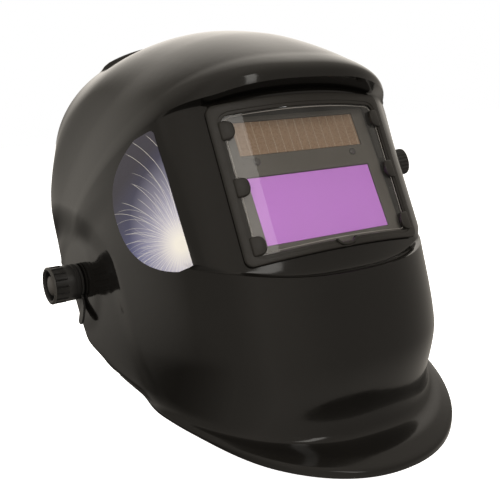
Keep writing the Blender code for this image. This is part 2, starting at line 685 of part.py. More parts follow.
def build_label(rows, looks, parent, offset):
    """A D-shaped sticker on the right temple, its straight edge along the crease."""
    tree = shell_tree(rows)
    middle = (LABEL_TOP + LABEL_BOTTOM) / 2.0 + 4.0
    front, back = [], []
    for u in np.linspace(LABEL_TOP, LABEL_BOTTOM, 11):
        reach = (LABEL_TOP - middle) if u > middle else (middle - LABEL_BOTTOM)
        bulge = (1.0 - min(abs(u - middle) / (reach + 2.0), 1.0) ** 2.2) ** 0.7
        start = panel_depth(CREASE_X, u) + LABEL_FRONT
        end = start + 1.5 + (LABEL_REAR - start) * bulge
        outer_row, inner_row = [], []
        for s in np.linspace(0.0, 1.0, 6):
            d = start + (end - start) * s
            hit, normal = tree.ray_cast(Vector((-200.0, d, u)), Vector((1.0, 0.0, 0.0)))[:2]
            normal = normal if normal.x < 0.0 else -normal
            inner_row.append(hit + normal * 0.75)
            outer_row.append(hit + normal * (0.75 + LABEL_THICK))
        front.append(outer_row)
        back.append(inner_row)
    new_object("label_right", skin(front, back), looks["label"], parent, offset)


# ---------------------------------------------------------------- pivots

def knob_profile():
    ring, top = COLLAR_LENGTH, COLLAR_LENGTH + RING_LENGTH
    return (
        (4.3, 0.0), (COLLAR_RADIUS, 0.0), (COLLAR_RADIUS, ring), (KNOB_RADIUS, ring + 0.8, True),
        (KNOB_RADIUS, top - 0.9, True), (KNOB_RADIUS - 1.2, top), (CAP_RADIUS + GAP, top),
        (CAP_RADIUS + GAP, top - 4.5), (4.3, top - 4.5),
    )


def lever_outline():
    """A disc with a finger that points down, in the lever's local x (down) and y."""
    disc = arc((0.0, 0.0), LEVER_DISC, 28.0, 332.0, 20)
    tip = arc((LEVER_REACH - 5.0, 0.0), 5.0, -80.0, 80.0, 8)
    return disc + [(17.0, -3.4)] + tip + [(17.0, 3.4)]


def build_pivots(shell, looks, flip, shell_offset, head, joints):
    hole = ((0.0, -8.0), (BOLT_HOLE, -8.0), (BOLT_HOLE, 8.0), (0.0, 8.0))
    inner_face = PIVOT_FLAT_X - SHELL_WALL
    for side, sign in (("left", 1.0), ("right", -1.0)):
        turn = (0.0, math.radians(90.0) * sign, 0.0)
        cut(shell, turned(hole, 20), flip, (sign * PIVOT_FLAT_X, 0.0, 0.0), turn)
        plate_x = PIVOT_FLAT_X + 0.5
        knob_x = plate_x + LEVER_THICK + GAP
        length = COLLAR_LENGTH + RING_LENGTH

        bolt = (
            (0.0, 0.0), (9.0, 0.0), (9.0, 2.2), (BOLT_RADIUS, 2.2),
            (BOLT_RADIUS, knob_x + length - 5.2 - 96.0), (0.0, knob_x + length - 5.2 - 96.0),
        )
        new_object(f"pivot_bolt_{side}", turned(bolt, 20), looks["knob"], head, (sign * 96.0, 0.0, 0.0), turn)
        washer = ((4.4, 0.0), (11.0, 0.0), (11.0, 1.2), (4.4, 1.2))
        place = (sign * (inner_face - 1.2 - 0.5), 0.0, 0.0)
        new_object(f"friction_washer_{side}", turned(washer, 24, closed=True), looks["fibre"], head, place, turn)

        knob = turned(knob_profile(), 36, closed=True, flutes=0.9)
        place = (sign * knob_x, 0.0, 0.0)
        new_object(f"tension_knob_{side}", knob, looks["knob"], joints[f"tension_{side}"], place, turn)
        cap_low = length - 4.5 + GAP
        cap = ((0.0, cap_low), (CAP_RADIUS, cap_low), (CAP_RADIUS, length - 1.6), (6.0, length - 0.7), (0.0, length - 0.2))
        new_object(f"knob_cap_{side}", turned(cap, 24), looks["cap"], joints[f"tension_{side}"], place, turn)

        place = (sign * plate_x, 0.0, 0.0)
        if side == "left":
            ring = ((4.4, 0.0), (LEVER_DISC, 0.0), (LEVER_DISC, LEVER_THICK), (4.4, LEVER_THICK))
            new_object("pivot_spacer_left", turned(ring, 24, closed=True), looks["knob"], flip, place, turn)
        else:
            lever = new_object("tilt_lever", prism(lever_outline(), 0.0, LEVER_THICK), looks["knob"],
                               joints["tilt_lever"], place, (math.pi, math.radians(90.0), 0.0))
            cut(lever, turned(((0.0, -2.0), (4.4, -2.0), (4.4, 4.0), (0.0, 4.0)), 20), joints["tilt_lever"], place, turn)


# ---------------------------------------------------------------- headgear

def band_point(angle, offset=0.0):
    """A point of the headband, angle 0 at the forehead and pi at the nape, offset outwards."""
    normal = Vector((HEAD_HALF_LENGTH * math.sin(angle), -HEAD_HALF_WIDTH * math.cos(angle), 0.0)).normalized()
    x = HEAD_HALF_WIDTH * math.sin(angle)
    b = HEAD_CENTRE_B - HEAD_HALF_LENGTH * math.cos(angle)
    return Vector((x, b, BAND_RISE + BAND_SLOPE * math.cos(angle))) + normal * offset


def band(start, end, inner, outer, low, high, steps):
    """A strip of the headband between two angles in degrees, offsets inner to outer."""
    angles = np.radians(np.linspace(start, end, steps + 1))
    up = Vector((0.0, 0.0, 1.0))
    outside = [[band_point(a, outer) + up * h for a in angles] for h in (low, high)]
    inside = [[band_point(a, inner) + up * h for a in angles] for h in (low, high)]
    return skin(outside, inside)


def strap(start, end, inner, outer, width, steps):
    """A strip of the crown strap; angle 0 at the left end and 180 at the right end."""
    rows = {inner: ([], []), outer: ([], [])}
    lean_b, lean_u = -math.sin(STRAP_LEAN), math.cos(STRAP_LEAN)
    for angle in np.radians(np.linspace(start, end, steps + 1)):
        c, s = math.cos(angle), math.sin(angle)
        for offset, pair in rows.items():
            x = math.copysign((STRAP_HALF_WIDTH + offset) * abs(c) ** 0.85, c)
            rise = (STRAP_RADIUS + offset) * abs(s) ** 0.85
            centre = Vector((x, rise * lean_b, rise * lean_u))
            across = Vector((0.0, lean_u, -lean_b)) * (width / 2.0)
            pair[0].append(centre - across)
            pair[1].append(centre + across)
    return skin(rows[outer], rows[inner])


def side_arm_outline():
    """Bracket seen from above: a plate outside the bolt's head with two feet on the headband."""
    return (
        (-26.0, 101.0), (-26.0, 93.4), (-14.0, 95.3), (-14.0, 98.6), (14.0, 98.6), (14.0, 93.9), (26.0, 90.9),
        (26.0, 98.0), (20.0, 101.0),
    )


def build_headgear(looks, head, joints):
    new_object("front_band", band(-104, 104, -1.0, 1.0, -13.0, 13.0, 32), looks["band"], head)
    new_object("sweatband", band(-66, 66, -8.5, -1.3, -17.0, 17.0, 18), looks["sweat"], head)
    for side, sign in (("left", 1.0), ("right", -1.0)):
        tail = band(sign * 92, sign * 171, -3.4, -1.4, -9.0, 9.0, 14)
        new_object(f"rear_band_{side}", tail, looks["band"], head)
        outline = [(sign * x, b) for b, x in side_arm_outline()]
        arm = prism(outline, -12.0, 12.0)
        arm_object = new_object(f"side_arm_{side}", arm, looks["band"], head)
        turn = (0.0, math.radians(90.0) * sign, 0.0)
        bore = turned(((0.0, -6.0), (4.6, -6.0), (4.6, 6.0), (0.0, 6.0)), 20)
        cut(arm_object, bore, head, (sign * 100.0, 0.0, 0.0), turn)
    new_object("crown_strap_left", strap(3.0, 100.0, -0.8, 0.8, 20.0, 18), looks["band"], head)
    new_object("crown_strap_right", strap(80.0, 177.0, -2.9, -1.3, 20.0, 18), looks["band"], head)
    pin = turned(((0.0, 0.0), (4.0, 0.0), (4.0, 1.0), (2.5, 2.0), (0.0, 2.2)), 16)
    top = STRAP_RADIUS + 0.8 + GAP
    place = (0.0, -top * math.sin(STRAP_LEAN), top * math.cos(STRAP_LEAN))
    new_object("crown_pin", pin, looks["band"], head, place, (STRAP_LEAN, 0.0, 0.0))

    new_object("nape_plate", band(151, 209, -7.0, -4.0, -27.0, 25.0, 12), looks["band"], head)
    new_object("nape_pad", band(153, 207, -14.0, -7.3, -22.0, 22.0, 10), looks["sweat"], head)
    cover = new_object("ratchet_cover", band(157, 203, 2.6, 6.0, -19.5, 19.5, 10), looks["band"], head)
    nape = band_point(math.pi)
    along_back = (math.radians(-90.0), 0.0, 0.0)
    bore = turned(((0.0, -3.0), (4.6, -3.0), (4.6, 12.0), (0.0, 12.0)), 20)
    cut(cover, bore, head, nape, along_back)
    knob = (
        (0.0, -3.2), (4.0, -3.2), (4.0, 6.8), (13.5, 6.8), (15.5, 8.0, True), (15.5, 16.5, True), (13.5, 18.0),
        (0.0, 18.0),
    )
    new_object("ratchet_knob", turned(knob, 40, flutes=1.1), looks["knob"], joints["ratchet"], (0.0, 0.0, 0.0), along_back)
    gear = ((4.3, -2.6), (7.0, -2.6, True), (7.0, 2.0, True), (4.3, 2.0))
    new_object("ratchet_pinion", turned(gear, 24, closed=True, flutes=1.2), looks["knob"], joints["ratchet"],
               (0.0, 0.0, 0.0), along_back)


# ---------------------------------------------------------------- assembly

def main():
    clear_scene()
    looks = {
        "shell": material("shell_gloss", (0.012, 0.011, 0.010), 0.08),
        "frame": material("frame_plastic", (0.03, 0.028, 0.025), 0.4),
        "clear": material("clear_polycarbonate", (0.8, 0.82, 0.8), 0.05, alpha=0.25),
        "cartridge": material("cartridge_plastic", (0.06, 0.055, 0.05), 0.45),
        "filter": material("filter_violet", (0.47, 0.2, 0.55), 0.08),
        "solar": material("solar_cells", (0.2, 0.13, 0.08), 0.25),
        "sensor": material("sensor_dark", (0.02, 0.02, 0.025), 0.15),
        "board": material("circuit_green", (0.03, 0.15, 0.06), 0.5),
        "steel": material("steel", (0.6, 0.6, 0.6), 0.35, metallic=1.0),
        "inner_plastic": material("inner_plastic", (0.04, 0.04, 0.04), 0.55),
        "knob": material("knob_plastic", (0.015, 0.015, 0.015), 0.4),
        "cap": material("cap_grey", (0.28, 0.27, 0.25), 0.35),
        "fibre": material("washer_fibre", (0.2, 0.12, 0.06), 0.8),
        "rubber": material("lead_rubber", (0.02, 0.02, 0.02), 0.6),
        "label": material("label_print", (0.12, 0.14, 0.3), 0.3),
        "band": material("band_nylon", (0.03, 0.03, 0.03), 0.5),
        "sweat": material("sweatband_foam", (0.05, 0.05, 0.055), 0.9),
    }
    lean = (-WINDOW_TILT, 0.0, 0.0)
    stance = Matrix.Translation((0.0, FILTER_Y, FILTER_HEIGHT)) @ Matrix.Rotation(-WINDOW_TILT, 4, "X")
    pivot = stance @ Vector((0.0, PIVOT_D, PIVOT_U))
    flip = empty("shell_axis", pivot, rotation=lean)
    head = empty("headgear_axis", pivot, rotation=lean)
    joints = {
        "tension_left": empty("tension_axis_left", (0.0, 0.0, 0.0), head),
        "tension_right": empty("tension_axis_right", (0.0, 0.0, 0.0), head),
        "tilt_lever": empty("tilt_lever_axis", (0.0, 0.0, 0.0), flip),
        "ratchet": empty("ratchet_axis", band_point(math.pi), head),
    }
    offset = (0.0, -PIVOT_D, -PIVOT_U)

    shell, rows = build_shell(looks["shell"], flip, offset)
    build_window(looks, flip, offset)
    build_cartridge(looks, flip, offset)
    build_holder(looks, flip, offset)
    build_dial("sensitivity_dial", 25.0, looks, flip, offset)
    build_dial("delay_dial", -25.0, looks, flip, offset)
    build_shade_control(shell, rows, looks, flip, offset)
    build_label(rows, looks, flip, offset)
    build_pivots(shell, looks, flip, offset, head, joints)
    build_headgear(looks, head, joints)


main()
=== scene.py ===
"""Looks of the auto-darkening welding helmet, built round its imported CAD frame.

Sizes are in millimetres in the CAD's local frames, and new_piece scales them to metres:
  window frame   x, d (depth behind the filter), u (up along the filter), origin at the filter's centre
  head frame     x, b (back), u (up), parallel to the window frame, origin on the pivot axis
"""

import math

import bmesh
import bpy
import numpy as np
from mathutils import Euler, Matrix, Vector
from mathutils.bvhtree import BVHTree


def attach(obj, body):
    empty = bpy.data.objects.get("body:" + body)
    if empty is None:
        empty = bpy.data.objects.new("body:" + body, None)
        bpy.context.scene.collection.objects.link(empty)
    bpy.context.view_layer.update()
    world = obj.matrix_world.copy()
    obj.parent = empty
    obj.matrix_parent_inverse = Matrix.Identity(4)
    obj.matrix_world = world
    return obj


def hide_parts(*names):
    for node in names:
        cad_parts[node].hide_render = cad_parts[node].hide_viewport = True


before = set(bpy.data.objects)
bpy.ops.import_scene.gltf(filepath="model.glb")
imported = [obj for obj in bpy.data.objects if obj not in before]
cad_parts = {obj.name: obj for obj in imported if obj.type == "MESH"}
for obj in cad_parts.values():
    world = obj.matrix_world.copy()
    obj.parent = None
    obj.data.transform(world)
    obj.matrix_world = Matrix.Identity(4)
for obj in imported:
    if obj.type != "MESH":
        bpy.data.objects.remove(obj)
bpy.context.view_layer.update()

MM = 0.001

# Stance and pivot, as in the CAD
WINDOW_TILT = math.radians(24.1)
FILTER_HEIGHT, FILTER_Y = 147.1, -81.7
PIVOT_D, PIVOT_U = 149.0, 12.0
WINDOW = Matrix.Translation((0.0, FILTER_Y, FILTER_HEIGHT)) @ Matrix.Rotation(-WINDOW_TILT, 4, "X")
HEAD = WINDOW @ Matrix.Translation((0.0, PIVOT_D, PIVOT_U))

# Shell, as in the CAD
SHELL_WALL = 2.4
SECTION_FIELDS = ("at", "mid_d", "mid_u", "half", "rear_d", "rear_u", "power", "bow")
SECTIONS = {
    "crown edge": (0.000, 108.0, 165.6, 105.0, 137.0, 93.0, 2.16, -10.0),
    "crown": (0.150, 59.5, 150.0, 110.0, 146.5, 77.0, 2.12, -4.0),
    "forehead": (0.290, 19.5, 127.0, 111.0, 158.0, 52.0, 2.27, 0.0),
    "brow": (0.370, -18.0, 91.5, 111.0, 162.0, 35.5, 2.68, 10.0),
    "visor edge": (0.400, -31.0, 73.6, 111.0, 164.0, 33.0, 2.83, 16.0),
    "temple": (0.530, -29.0, 20.5, 110.0, 161.0, 18.0, 2.75, 45.0),
    "sill edge": (0.660, -19.0, -48.4, 110.0, 155.0, 6.0, 2.68, 75.0),
    "cheek": (0.800, -7.7, -96.3, 110.0, 153.0, -23.0, 2.57, 25.0),
    "neck": (0.920, 17.4, -135.6, 109.6, 134.0, -47.0, 2.26, 5.0),
    "lip flare": (0.965, 4.3, -149.5, 108.0, 127.5, -55.5, 2.14, 5.0),
    "lip edge": (1.000, -3.9, -158.3, 107.0, 123.0, -58.5, 2.12, 3.0),
}
VISOR_AT, SILL_AT = SECTIONS["visor edge"][0], SECTIONS["sill edge"][0]
RIB_HEIGHT, RIB_END_X, RIB_FADE = 2.6, 66.0, 9.0
RIB_ROWS = (0.0, 0.009, 0.013)
LIP_DROP, LIP_TUCK = 4.2, 0.8
CREASE_X, BAND_X = 86.5, 64.0
PANEL_MID, PANEL_TOP, PANEL_LEAN, PANEL_RADIUS = -14.5, 64.0, 0.052, 186.0
BAND_DROP, VISOR_BAND = 6.5, 4.5
OPENING_X, OPENING_TOP, OPENING_BOTTOM = 60.0, 60.0, -29.0
EAR_FRONT, EAR_CENTRE_D, EAR_LOW_U, EAR_RISE = 73.0, 150.0, 5.0, 65.0
EAR_INSET, EAR_BACK, EAR_POWER, EAR_SOFT, EAR_FADE_U = 5.0, 10.0, 1.5, 0.5, 102.0
PIVOT_FLAT_X, PIVOT_FLAT_RADIUS, PIVOT_BLEND = 105.4, 25.0, 12.0

# Lens frame and cover lens
FRAME_X, FRAME_TOP, FRAME_BOTTOM, FRAME_CORNER = 64.2, 64.3, -32.0, 5.0
VIEW_X, VIEW_TOP, VIEW_BOTTOM = 57.2, 57.0, -26.8
FRAME_THICK, LENS_SET_BACK, LENS_THICK = 3.0, 1.5, 1.0
TAB_HEIGHTS, TAB_HALF, TAB_REACH = (48.0, 13.7, -21.0), 6.0, 7.5
NOTCH_HALF, NOTCH_DEPTH = 6.0, 3.0

# Shade control and the shell's holes
SHADE_D, SHADE_U, SHADE_TURN = 40.0, 31.0, math.radians(23.0)
BOLT_HOLE, SHADE_HOLE = 5.0, 4.2

# Label
LABEL_FRONT, LABEL_TOP, LABEL_BOTTOM, LABEL_REAR = 2.5, 62.0, -20.0, 63.0

# Headgear
HEAD_HALF_WIDTH, HEAD_HALF_LENGTH, HEAD_CENTRE_B = 94.0, 98.0, -5.0
BAND_RISE, BAND_SLOPE = 1.3, 40.8
STRAP_RADIUS, STRAP_HALF_WIDTH, STRAP_LEAN = 127.0, 90.0, math.radians(8.0)
TAIL_OFFSET = -2.4

# Turned pieces: (radius, height along the axis, share of the flutes)
KNOB_PLACE_X = 107.8
KNOB_PROFILE = (
    (4.4, 0.0), (11.9, 0.0), (12.3, 0.3), (12.4, 0.8), (12.4, 3.2), (12.1, 3.4), (12.1, 3.8), (12.4, 4.0),
    (12.4, 8.4), (12.2, 8.8), (12.2, 9.2), (12.5, 9.5, 0.4), (12.9, 10.0, 1.0), (12.9, 17.4, 1.0),
    (12.9, 17.9, 0.4), (12.8, 18.3), (12.5, 18.8), (12.0, 19.1), (11.2, 19.2), (10.5, 19.0), (10.0, 18.5),
    (9.8, 17.8), (9.7, 14.9), (9.4, 14.6), (7.2, 14.6), (7.0, 14.9), (4.4, 14.9), (4.4, 0.0),
)
KNOB_RIM = (
    (12.92, 17.95), (12.9, 18.35), (12.6, 18.9), (12.05, 19.2), (11.4, 19.3), (11.4, 19.1), (12.4, 18.4),
    (12.7, 17.95), (12.92, 17.95),
)
CAP_PROFILE = (
    (0.0, 15.2), (6.2, 15.2), (6.6, 15.4), (6.8, 15.8), (6.8, 17.0), (6.6, 17.5), (6.1, 17.9), (5.0, 18.35),
    (3.4, 18.75), (1.7, 18.95), (0.0, 19.0),
)
SHADE_PROFILE = (
    (0.0, 9.4), (3.2, 9.4), (3.2, 4.6), (6.6, 4.6), (6.8, 4.4), (6.8, 2.4), (7.0, 2.2), (9.2, 2.2),
    (9.55, 2.5), (9.6, 3.0), (9.6, 3.6, 1.0), (9.25, 13.0, 1.0), (9.0, 13.8, 0.6), (8.6, 14.3), (8.0, 14.7),
    (6.5, 15.0),
    (5.6, 14.9), (5.2, 14.7), (0.0, 14.7),
)
DIAL_PROFILE = (
    (0.0, 0.0), (6.6, 0.0), (6.9, 0.25), (7.0, 0.6, 1.0), (7.0, 3.2, 1.0), (6.7, 3.7, 0.5), (6.2, 4.1),
    (5.5, 4.3), (4.6, 4.4), (0.0, 4.4),
)
RATCHET_PROFILE = (
    (0.0, -3.2), (3.7, -3.2), (4.0, -2.9), (4.0, 6.8), (13.2, 6.8), (14.6, 7.2), (15.2, 7.8, 0.4),
    (15.5, 8.6, 1.0), (15.5, 15.6, 1.0), (15.2, 16.6, 0.8), (14.5, 17.4, 0.4), (13.4, 17.9), (11.8, 18.0),
    (10.6, 17.8), (10.0, 17.2), (9.6, 16.9), (0.0, 16.7),
)

# Print and cells
LABEL_UNIT = 82.0
GLOW_PLACE = (0.285, 0.17)
# spokes to a radian, bend, width, longest reach, seed
SPARKS = ((7.0, 0.5, 0.22, 0.86, 3.1), (13.0, 0.9, 0.13, 0.70, 8.7), (19.0, -0.4, 0.10, 0.48, 5.3))
CELL_PITCH, DOT_PITCH = 0.0063, 0.0014

# Camera: its place, and which ways its right, down and forward point
CAMERA_LENS = 57.95
CAMERA_PLACE = (-0.29510, -0.46647, 0.20408)
CAMERA_AXES = ((0.83775, -0.54153, -0.07023), (-0.15033, -0.10504, -0.98304), (0.52496, 0.83410, -0.16941))

LIGHT_COLOUR = (1.0, 0.97, 0.92)
HELMET_MIDDLE = Vector((0.0, -0.03, 0.13))


# ---------------------------------------------------------------- camera, floor, light

def link(name, data):
    """A new object in the scene."""
    made = bpy.data.objects.new(name, data)
    bpy.context.scene.collection.objects.link(made)
    return made


def build_camera():
    camera = link("camera", bpy.data.cameras.new("camera"))
    camera.data.lens = CAMERA_LENS
    camera.data.sensor_width = 36.0
    right, down, forward = (Vector(way) for way in CAMERA_AXES)
    axes = Matrix((right, -down, -forward)).transposed()
    camera.matrix_world = Matrix.Translation(CAMERA_PLACE) @ axes.to_4x4()
    bpy.context.scene.camera = camera


def build_floor():
    bm = bmesh.new()
    bmesh.ops.create_grid(bm, x_segments=1, y_segments=1, size=8.0)
    mesh = bpy.data.meshes.new("floor")
    bm.to_mesh(mesh)
    bm.free()
    mesh.materials.append(floor_look())
    floor = link("floor", mesh)
    floor.location.z = -0.0002
    floor.visible_glossy = False
    floor.visible_diffuse = False


def build_lights():
    # power, size, location, seen in reflections
    lights = {
        "overhead": (44.0, (2.2, 2.2), (0.0, 0.3, 2.0), False),
        "front_fill": (58.0, (1.8, 1.8), (-0.9, -1.9, 0.9), False),
        "right_fill": (6.0, (1.2, 1.2), (2.0, -0.2, 0.8), False),
        "lens_softbox": (1.5, (0.25, 1.0), (0.03, -1.31, 1.02), True),
    }
    for name, (power, size, location, seen) in lights.items():
        light = bpy.data.lights.new(name, "AREA")
        light.shape = "RECTANGLE"
        light.size, light.size_y = size
        light.energy = power
        light.color = LIGHT_COLOUR
        lamp = link(name, light)
        lamp.location = location
        lamp.rotation_euler = (HELMET_MIDDLE - lamp.location).to_track_quat("-Z", "Y").to_euler()
        lamp.visible_glossy = seen
        lamp.visible_camera = False


def build_world():
    """What the gloss mirrors: a dim studio, a pale wall and a soft source.  The camera sees plain white."""
    world = bpy.data.worlds.new("studio")
    bpy.context.scene.world = world
    world.use_nodes = True
    tree = world.node_tree
    tree.nodes.clear()
    direction = add(tree, "ShaderNodeTexCoord").outputs["Generated"]
    # the pale wall is behind the helmet's right
    wall = facing(tree, direction, (-0.62, 0.78, -0.02))
    studio = ramp(tree, map_range(tree, wall, -1.0, 1.0, 0.0, 1.0), (
        (0.0, (0.25, 0.23, 0.205)), (0.2, (0.32, 0.295, 0.26)), (0.45, (0.37, 0.34, 0.30)),
        (0.65, (0.27, 0.25, 0.22)), (0.86, (0.26, 0.24, 0.21)), (0.985, (0.60, 0.56, 0.50)),
    ))
    # the wall's foot is in shade, which the lower ear mirrors
    height = add(tree, "ShaderNodeSeparateXYZ", {0: direction}).outputs[2]
    low_down = map_range(tree, height, -0.36, -0.08, 1.0, 0.0)
    on_wall = map_range(tree, wall, 0.35, 0.8, 0.0, 0.93)
    shaded = mix_colour(tree, maths(tree, "MULTIPLY", low_down, on_wall), studio, (0.03, 0.027, 0.023))
    # the soft source is behind and above the left shoulder, and the top of the dome mirrors it
    near = map_range(tree, facing(tree, direction, (0.47, 0.80, 0.38)), 0.76, 1.0, 0.0, 1.0)
    lit = mix_colour(tree, maths(tree, "POWER", near, 1.3), shaded, (1.25, 1.17, 1.06))
    seen = add(tree, "ShaderNodeLightPath").outputs["Is Camera Ray"]
    colour = mix_colour(tree, seen, lit, (1.0, 1.0, 1.0))
    background = add(tree, "ShaderNodeBackground", {0: colour, "Strength": 1.0})
    add(tree, "ShaderNodeOutputWorld", {0: background.outputs[0]})


def build_stage():
    bpy.context.scene.view_settings.view_transform = "Standard"
    build_camera()
    build_floor()
    build_lights()
    build_world()


# ---------------------------------------------------------------- shader helpers

def add(tree, kind, inputs=None, **attributes):
    """A node with its attributes set, and its inputs linked from sockets or given values."""
    node = tree.nodes.new(kind)
    for name, value in attributes.items():
        setattr(node, name, value)
    for key, value in (inputs or {}).items():
        if isinstance(value, bpy.types.NodeSocket):
            tree.links.new(value, node.inputs[key])
        else:
            node.inputs[key].default_value = value
    return node


def maths(tree, operation, a, b=0.0, clamp=False):
    return add(tree, "ShaderNodeMath", {0: a, 1: b}, operation=operation, use_clamp=clamp).outputs[0]


def map_range(tree, value, low, high, to_low, to_high):
    node = add(tree, "ShaderNodeMapRange", {0: value, 1: low, 2: high, 3: to_low, 4: to_high})
    return node.outputs[0]


def mix_colour(tree, factor, a, b):
    a, b = (c if isinstance(c, bpy.types.NodeSocket) else (*c, 1.0) for c in (a, b))
    return add(tree, "ShaderNodeMix", {0: factor, 6: a, 7: b}, data_type="RGBA").outputs[2]


def ramp(tree, value, stops):
    """A colour ramp of (place, colour) stops."""
    node = add(tree, "ShaderNodeValToRGB", {0: value})
    elements = node.color_ramp.elements
    while len(elements) < len(stops):
        elements.new(0.5)
    for element, (place, colour) in zip(elements, stops):
        element.position = place
        element.color = (*colour, 1.0)
    return node.outputs[0]


def noise(tree, coords, scale, detail=3.0, roughness=0.5):
    inputs = {"Vector": coords, "Scale": scale, "Detail": detail, "Roughness": roughness}
    return add(tree, "ShaderNodeTexNoise", inputs).outputs[0]


def stretch(tree, coords, scale):
    return add(tree, "ShaderNodeMapping", {0: coords, 3: scale}).outputs[0]


def facing(tree, direction, way):
    """How squarely a direction points the given way."""
    return add(tree, "ShaderNodeVectorMath", {0: direction, 1: way}, operation="DOT_PRODUCT").outputs["Value"]


def zigzag(tree, value):
    """0 at each half, rising to 0.5 at each whole number."""
    return maths(tree, "ABSOLUTE", maths(tree, "SUBTRACT", maths(tree, "FRACT", value), 0.5))


def new_material(name):
    made = bpy.data.materials.new(name)
    made.use_nodes = True
    tree = made.node_tree
    return made, tree, tree.nodes["Principled BSDF"], add(tree, "ShaderNodeTexCoord").outputs["Object"]


def bump(tree, shader, height, distance):
    node = add(tree, "ShaderNodeBump", {"Height": height, "Distance": distance, "Strength": 1.0})
    tree.links.new(node.outputs[0], shader.inputs["Normal"])


def paint(tree, shader, tone, grain, smoothest, roughest):
    """Links the base colour, and a roughness that follows the grain."""
    tree.links.new(tone, shader.inputs["Base Color"])
    tree.links.new(map_range(tree, grain, 0.2, 0.8, smoothest, roughest), shader.inputs["Roughness"])


def surface(name, colour, rough, grain=(1400.0, 0.00003), mottle=0.18, metallic=0.0, coat=0.0, scuffs=0.0):
    """Moulded or metal surface: mottled colour, uneven polish, fine grain, and pale scuffs."""
    made, tree, shader, coords = new_material(name)
    shader.inputs["Metallic"].default_value = metallic
    shader.inputs["Coat Weight"].default_value = coat
    shader.inputs["Coat Roughness"].default_value = 0.06
    shader.inputs["Specular IOR Level"].default_value = 0.5
    dark = tuple(c * (1.0 - mottle) for c in colour)
    light = tuple(min(c * (1.0 + mottle), 1.0) for c in colour)
    tone = mix_colour(tree, noise(tree, coords, 60.0, 4.0, 0.6), dark, light)
    fine = noise(tree, coords, 420.0, 5.0, 0.65)
    polish = map_range(tree, fine, 0.25, 0.75, rough * 0.85, rough * 1.18)
    if scuffs:
        streaks = noise(tree, stretch(tree, coords, (1.0, 0.25, 3.0)), 900.0, 2.0)
        worn = map_range(tree, streaks, 0.66, 0.74, 0.0, scuffs)
        tone = mix_colour(tree, worn, tone, tuple(min(c * 3.0 + 0.03, 1.0) for c in colour))
    tree.links.new(tone, shader.inputs["Base Color"])
    tree.links.new(polish, shader.inputs["Roughness"])
    bump(tree, shader, noise(tree, coords, grain[0], 2.0), grain[1])
    return made


def floor_look():
    made, tree, shader, coords = new_material("floor_paper")
    tone = mix_colour(tree, noise(tree, coords, 3.0), (0.86, 0.86, 0.85), (0.90, 0.90, 0.89))
    tree.links.new(tone, shader.inputs["Base Color"])
    shader.inputs["Roughness"].default_value = 0.9
    shader.inputs["Specular IOR Level"].default_value = 0.1
    shader.inputs["Emission Color"].default_value = (1.0, 1.0, 1.0, 1.0)
    shader.inputs["Emission Strength"].default_value = 0.92
    return made


def shell_look():
    """Injection-moulded gloss black: slight orange peel, faint polishing haze and fine dust."""
    made, tree, shader, coords = new_material("shell_gloss_black")
    broad = noise(tree, coords, 22.0, 4.0, 0.55)
    dust = map_range(tree, noise(tree, coords, 2600.0, 1.0), 0.72, 0.80, 0.0, 0.35)
    tone = mix_colour(tree, broad, (0.0038, 0.0034, 0.0029), (0.0058, 0.0052, 0.0045))
    tone = mix_colour(tree, dust, tone, (0.05, 0.048, 0.044))
    tree.links.new(tone, shader.inputs["Base Color"])
    haze = noise(tree, coords, 75.0, 6.0, 0.7)
    tree.links.new(map_range(tree, haze, 0.3, 0.7, 0.085, 0.15), shader.inputs["Roughness"])
    shader.inputs["Specular IOR Level"].default_value = 0.5
    shader.inputs["Coat Weight"].default_value = 0.25
    shader.inputs["Coat Roughness"].default_value = 0.05
    peel = noise(tree, coords, 190.0, 2.0, 0.4)
    bump(tree, shader, peel, 0.00003)
    return made


def lens_look():
    """Clear polycarbonate: a tinted window with a Fresnel reflection, haze and hairline scratches."""
    made, tree, shader, coords = new_material("cover_lens_clear")
    tree.nodes.remove(shader)
    haze = map_range(tree, noise(tree, coords, 30.0, 4.0), 0.3, 0.8, 0.004, 0.016)
    scratch = noise(tree, stretch(tree, coords, (9.0, 1.0, 0.7)), 260.0, 2.0)
    film = maths(tree, "ADD", haze, map_range(tree, scratch, 0.70, 0.74, 0.0, 0.03))
    clear = add(tree, "ShaderNodeBsdfTransparent", {0: (0.93, 0.93, 0.92, 1.0)})
    bloom = add(tree, "ShaderNodeBsdfDiffuse", {0: (0.75, 0.73, 0.70, 1.0)})
    body = add(tree, "ShaderNodeMixShader", {0: film, 1: clear.outputs[0], 2: bloom.outputs[0]})
    gloss = add(tree, "ShaderNodeBsdfGlossy", {0: (1.0, 1.0, 1.0, 1.0), 1: 0.03})
    # only front faces reflect: seen from behind, an unrefracted ray would meet a total mirror past 41 degrees
    front = maths(tree, "SUBTRACT", 1.0, add(tree, "ShaderNodeNewGeometry").outputs["Backfacing"])
    rim = maths(tree, "MULTIPLY", add(tree, "ShaderNodeFresnel", {0: 1.52}).outputs[0], front)
    mixed = add(tree, "ShaderNodeMixShader", {0: rim, 1: body.outputs[0], 2: gloss.outputs[0]})
    tree.links.new(mixed.outputs[0], tree.nodes["Material Output"].inputs["Surface"])
    return made


def filter_look():
    """Reflective violet interference coating, slightly uneven toward its edges."""
    made, tree, shader, coords = new_material("filter_violet")
    shader.inputs["Coat Weight"].default_value = 0.3
    shader.inputs["Coat Roughness"].default_value = 0.03
    broad = noise(tree, coords, 14.0, 2.0)
    tone = mix_colour(tree, broad, (0.455, 0.178, 0.600), (0.480, 0.192, 0.625))
    paint(tree, shader, tone, noise(tree, coords, 500.0, 3.0), 0.26, 0.34)
    bump(tree, shader, broad, 0.00002)
    return made


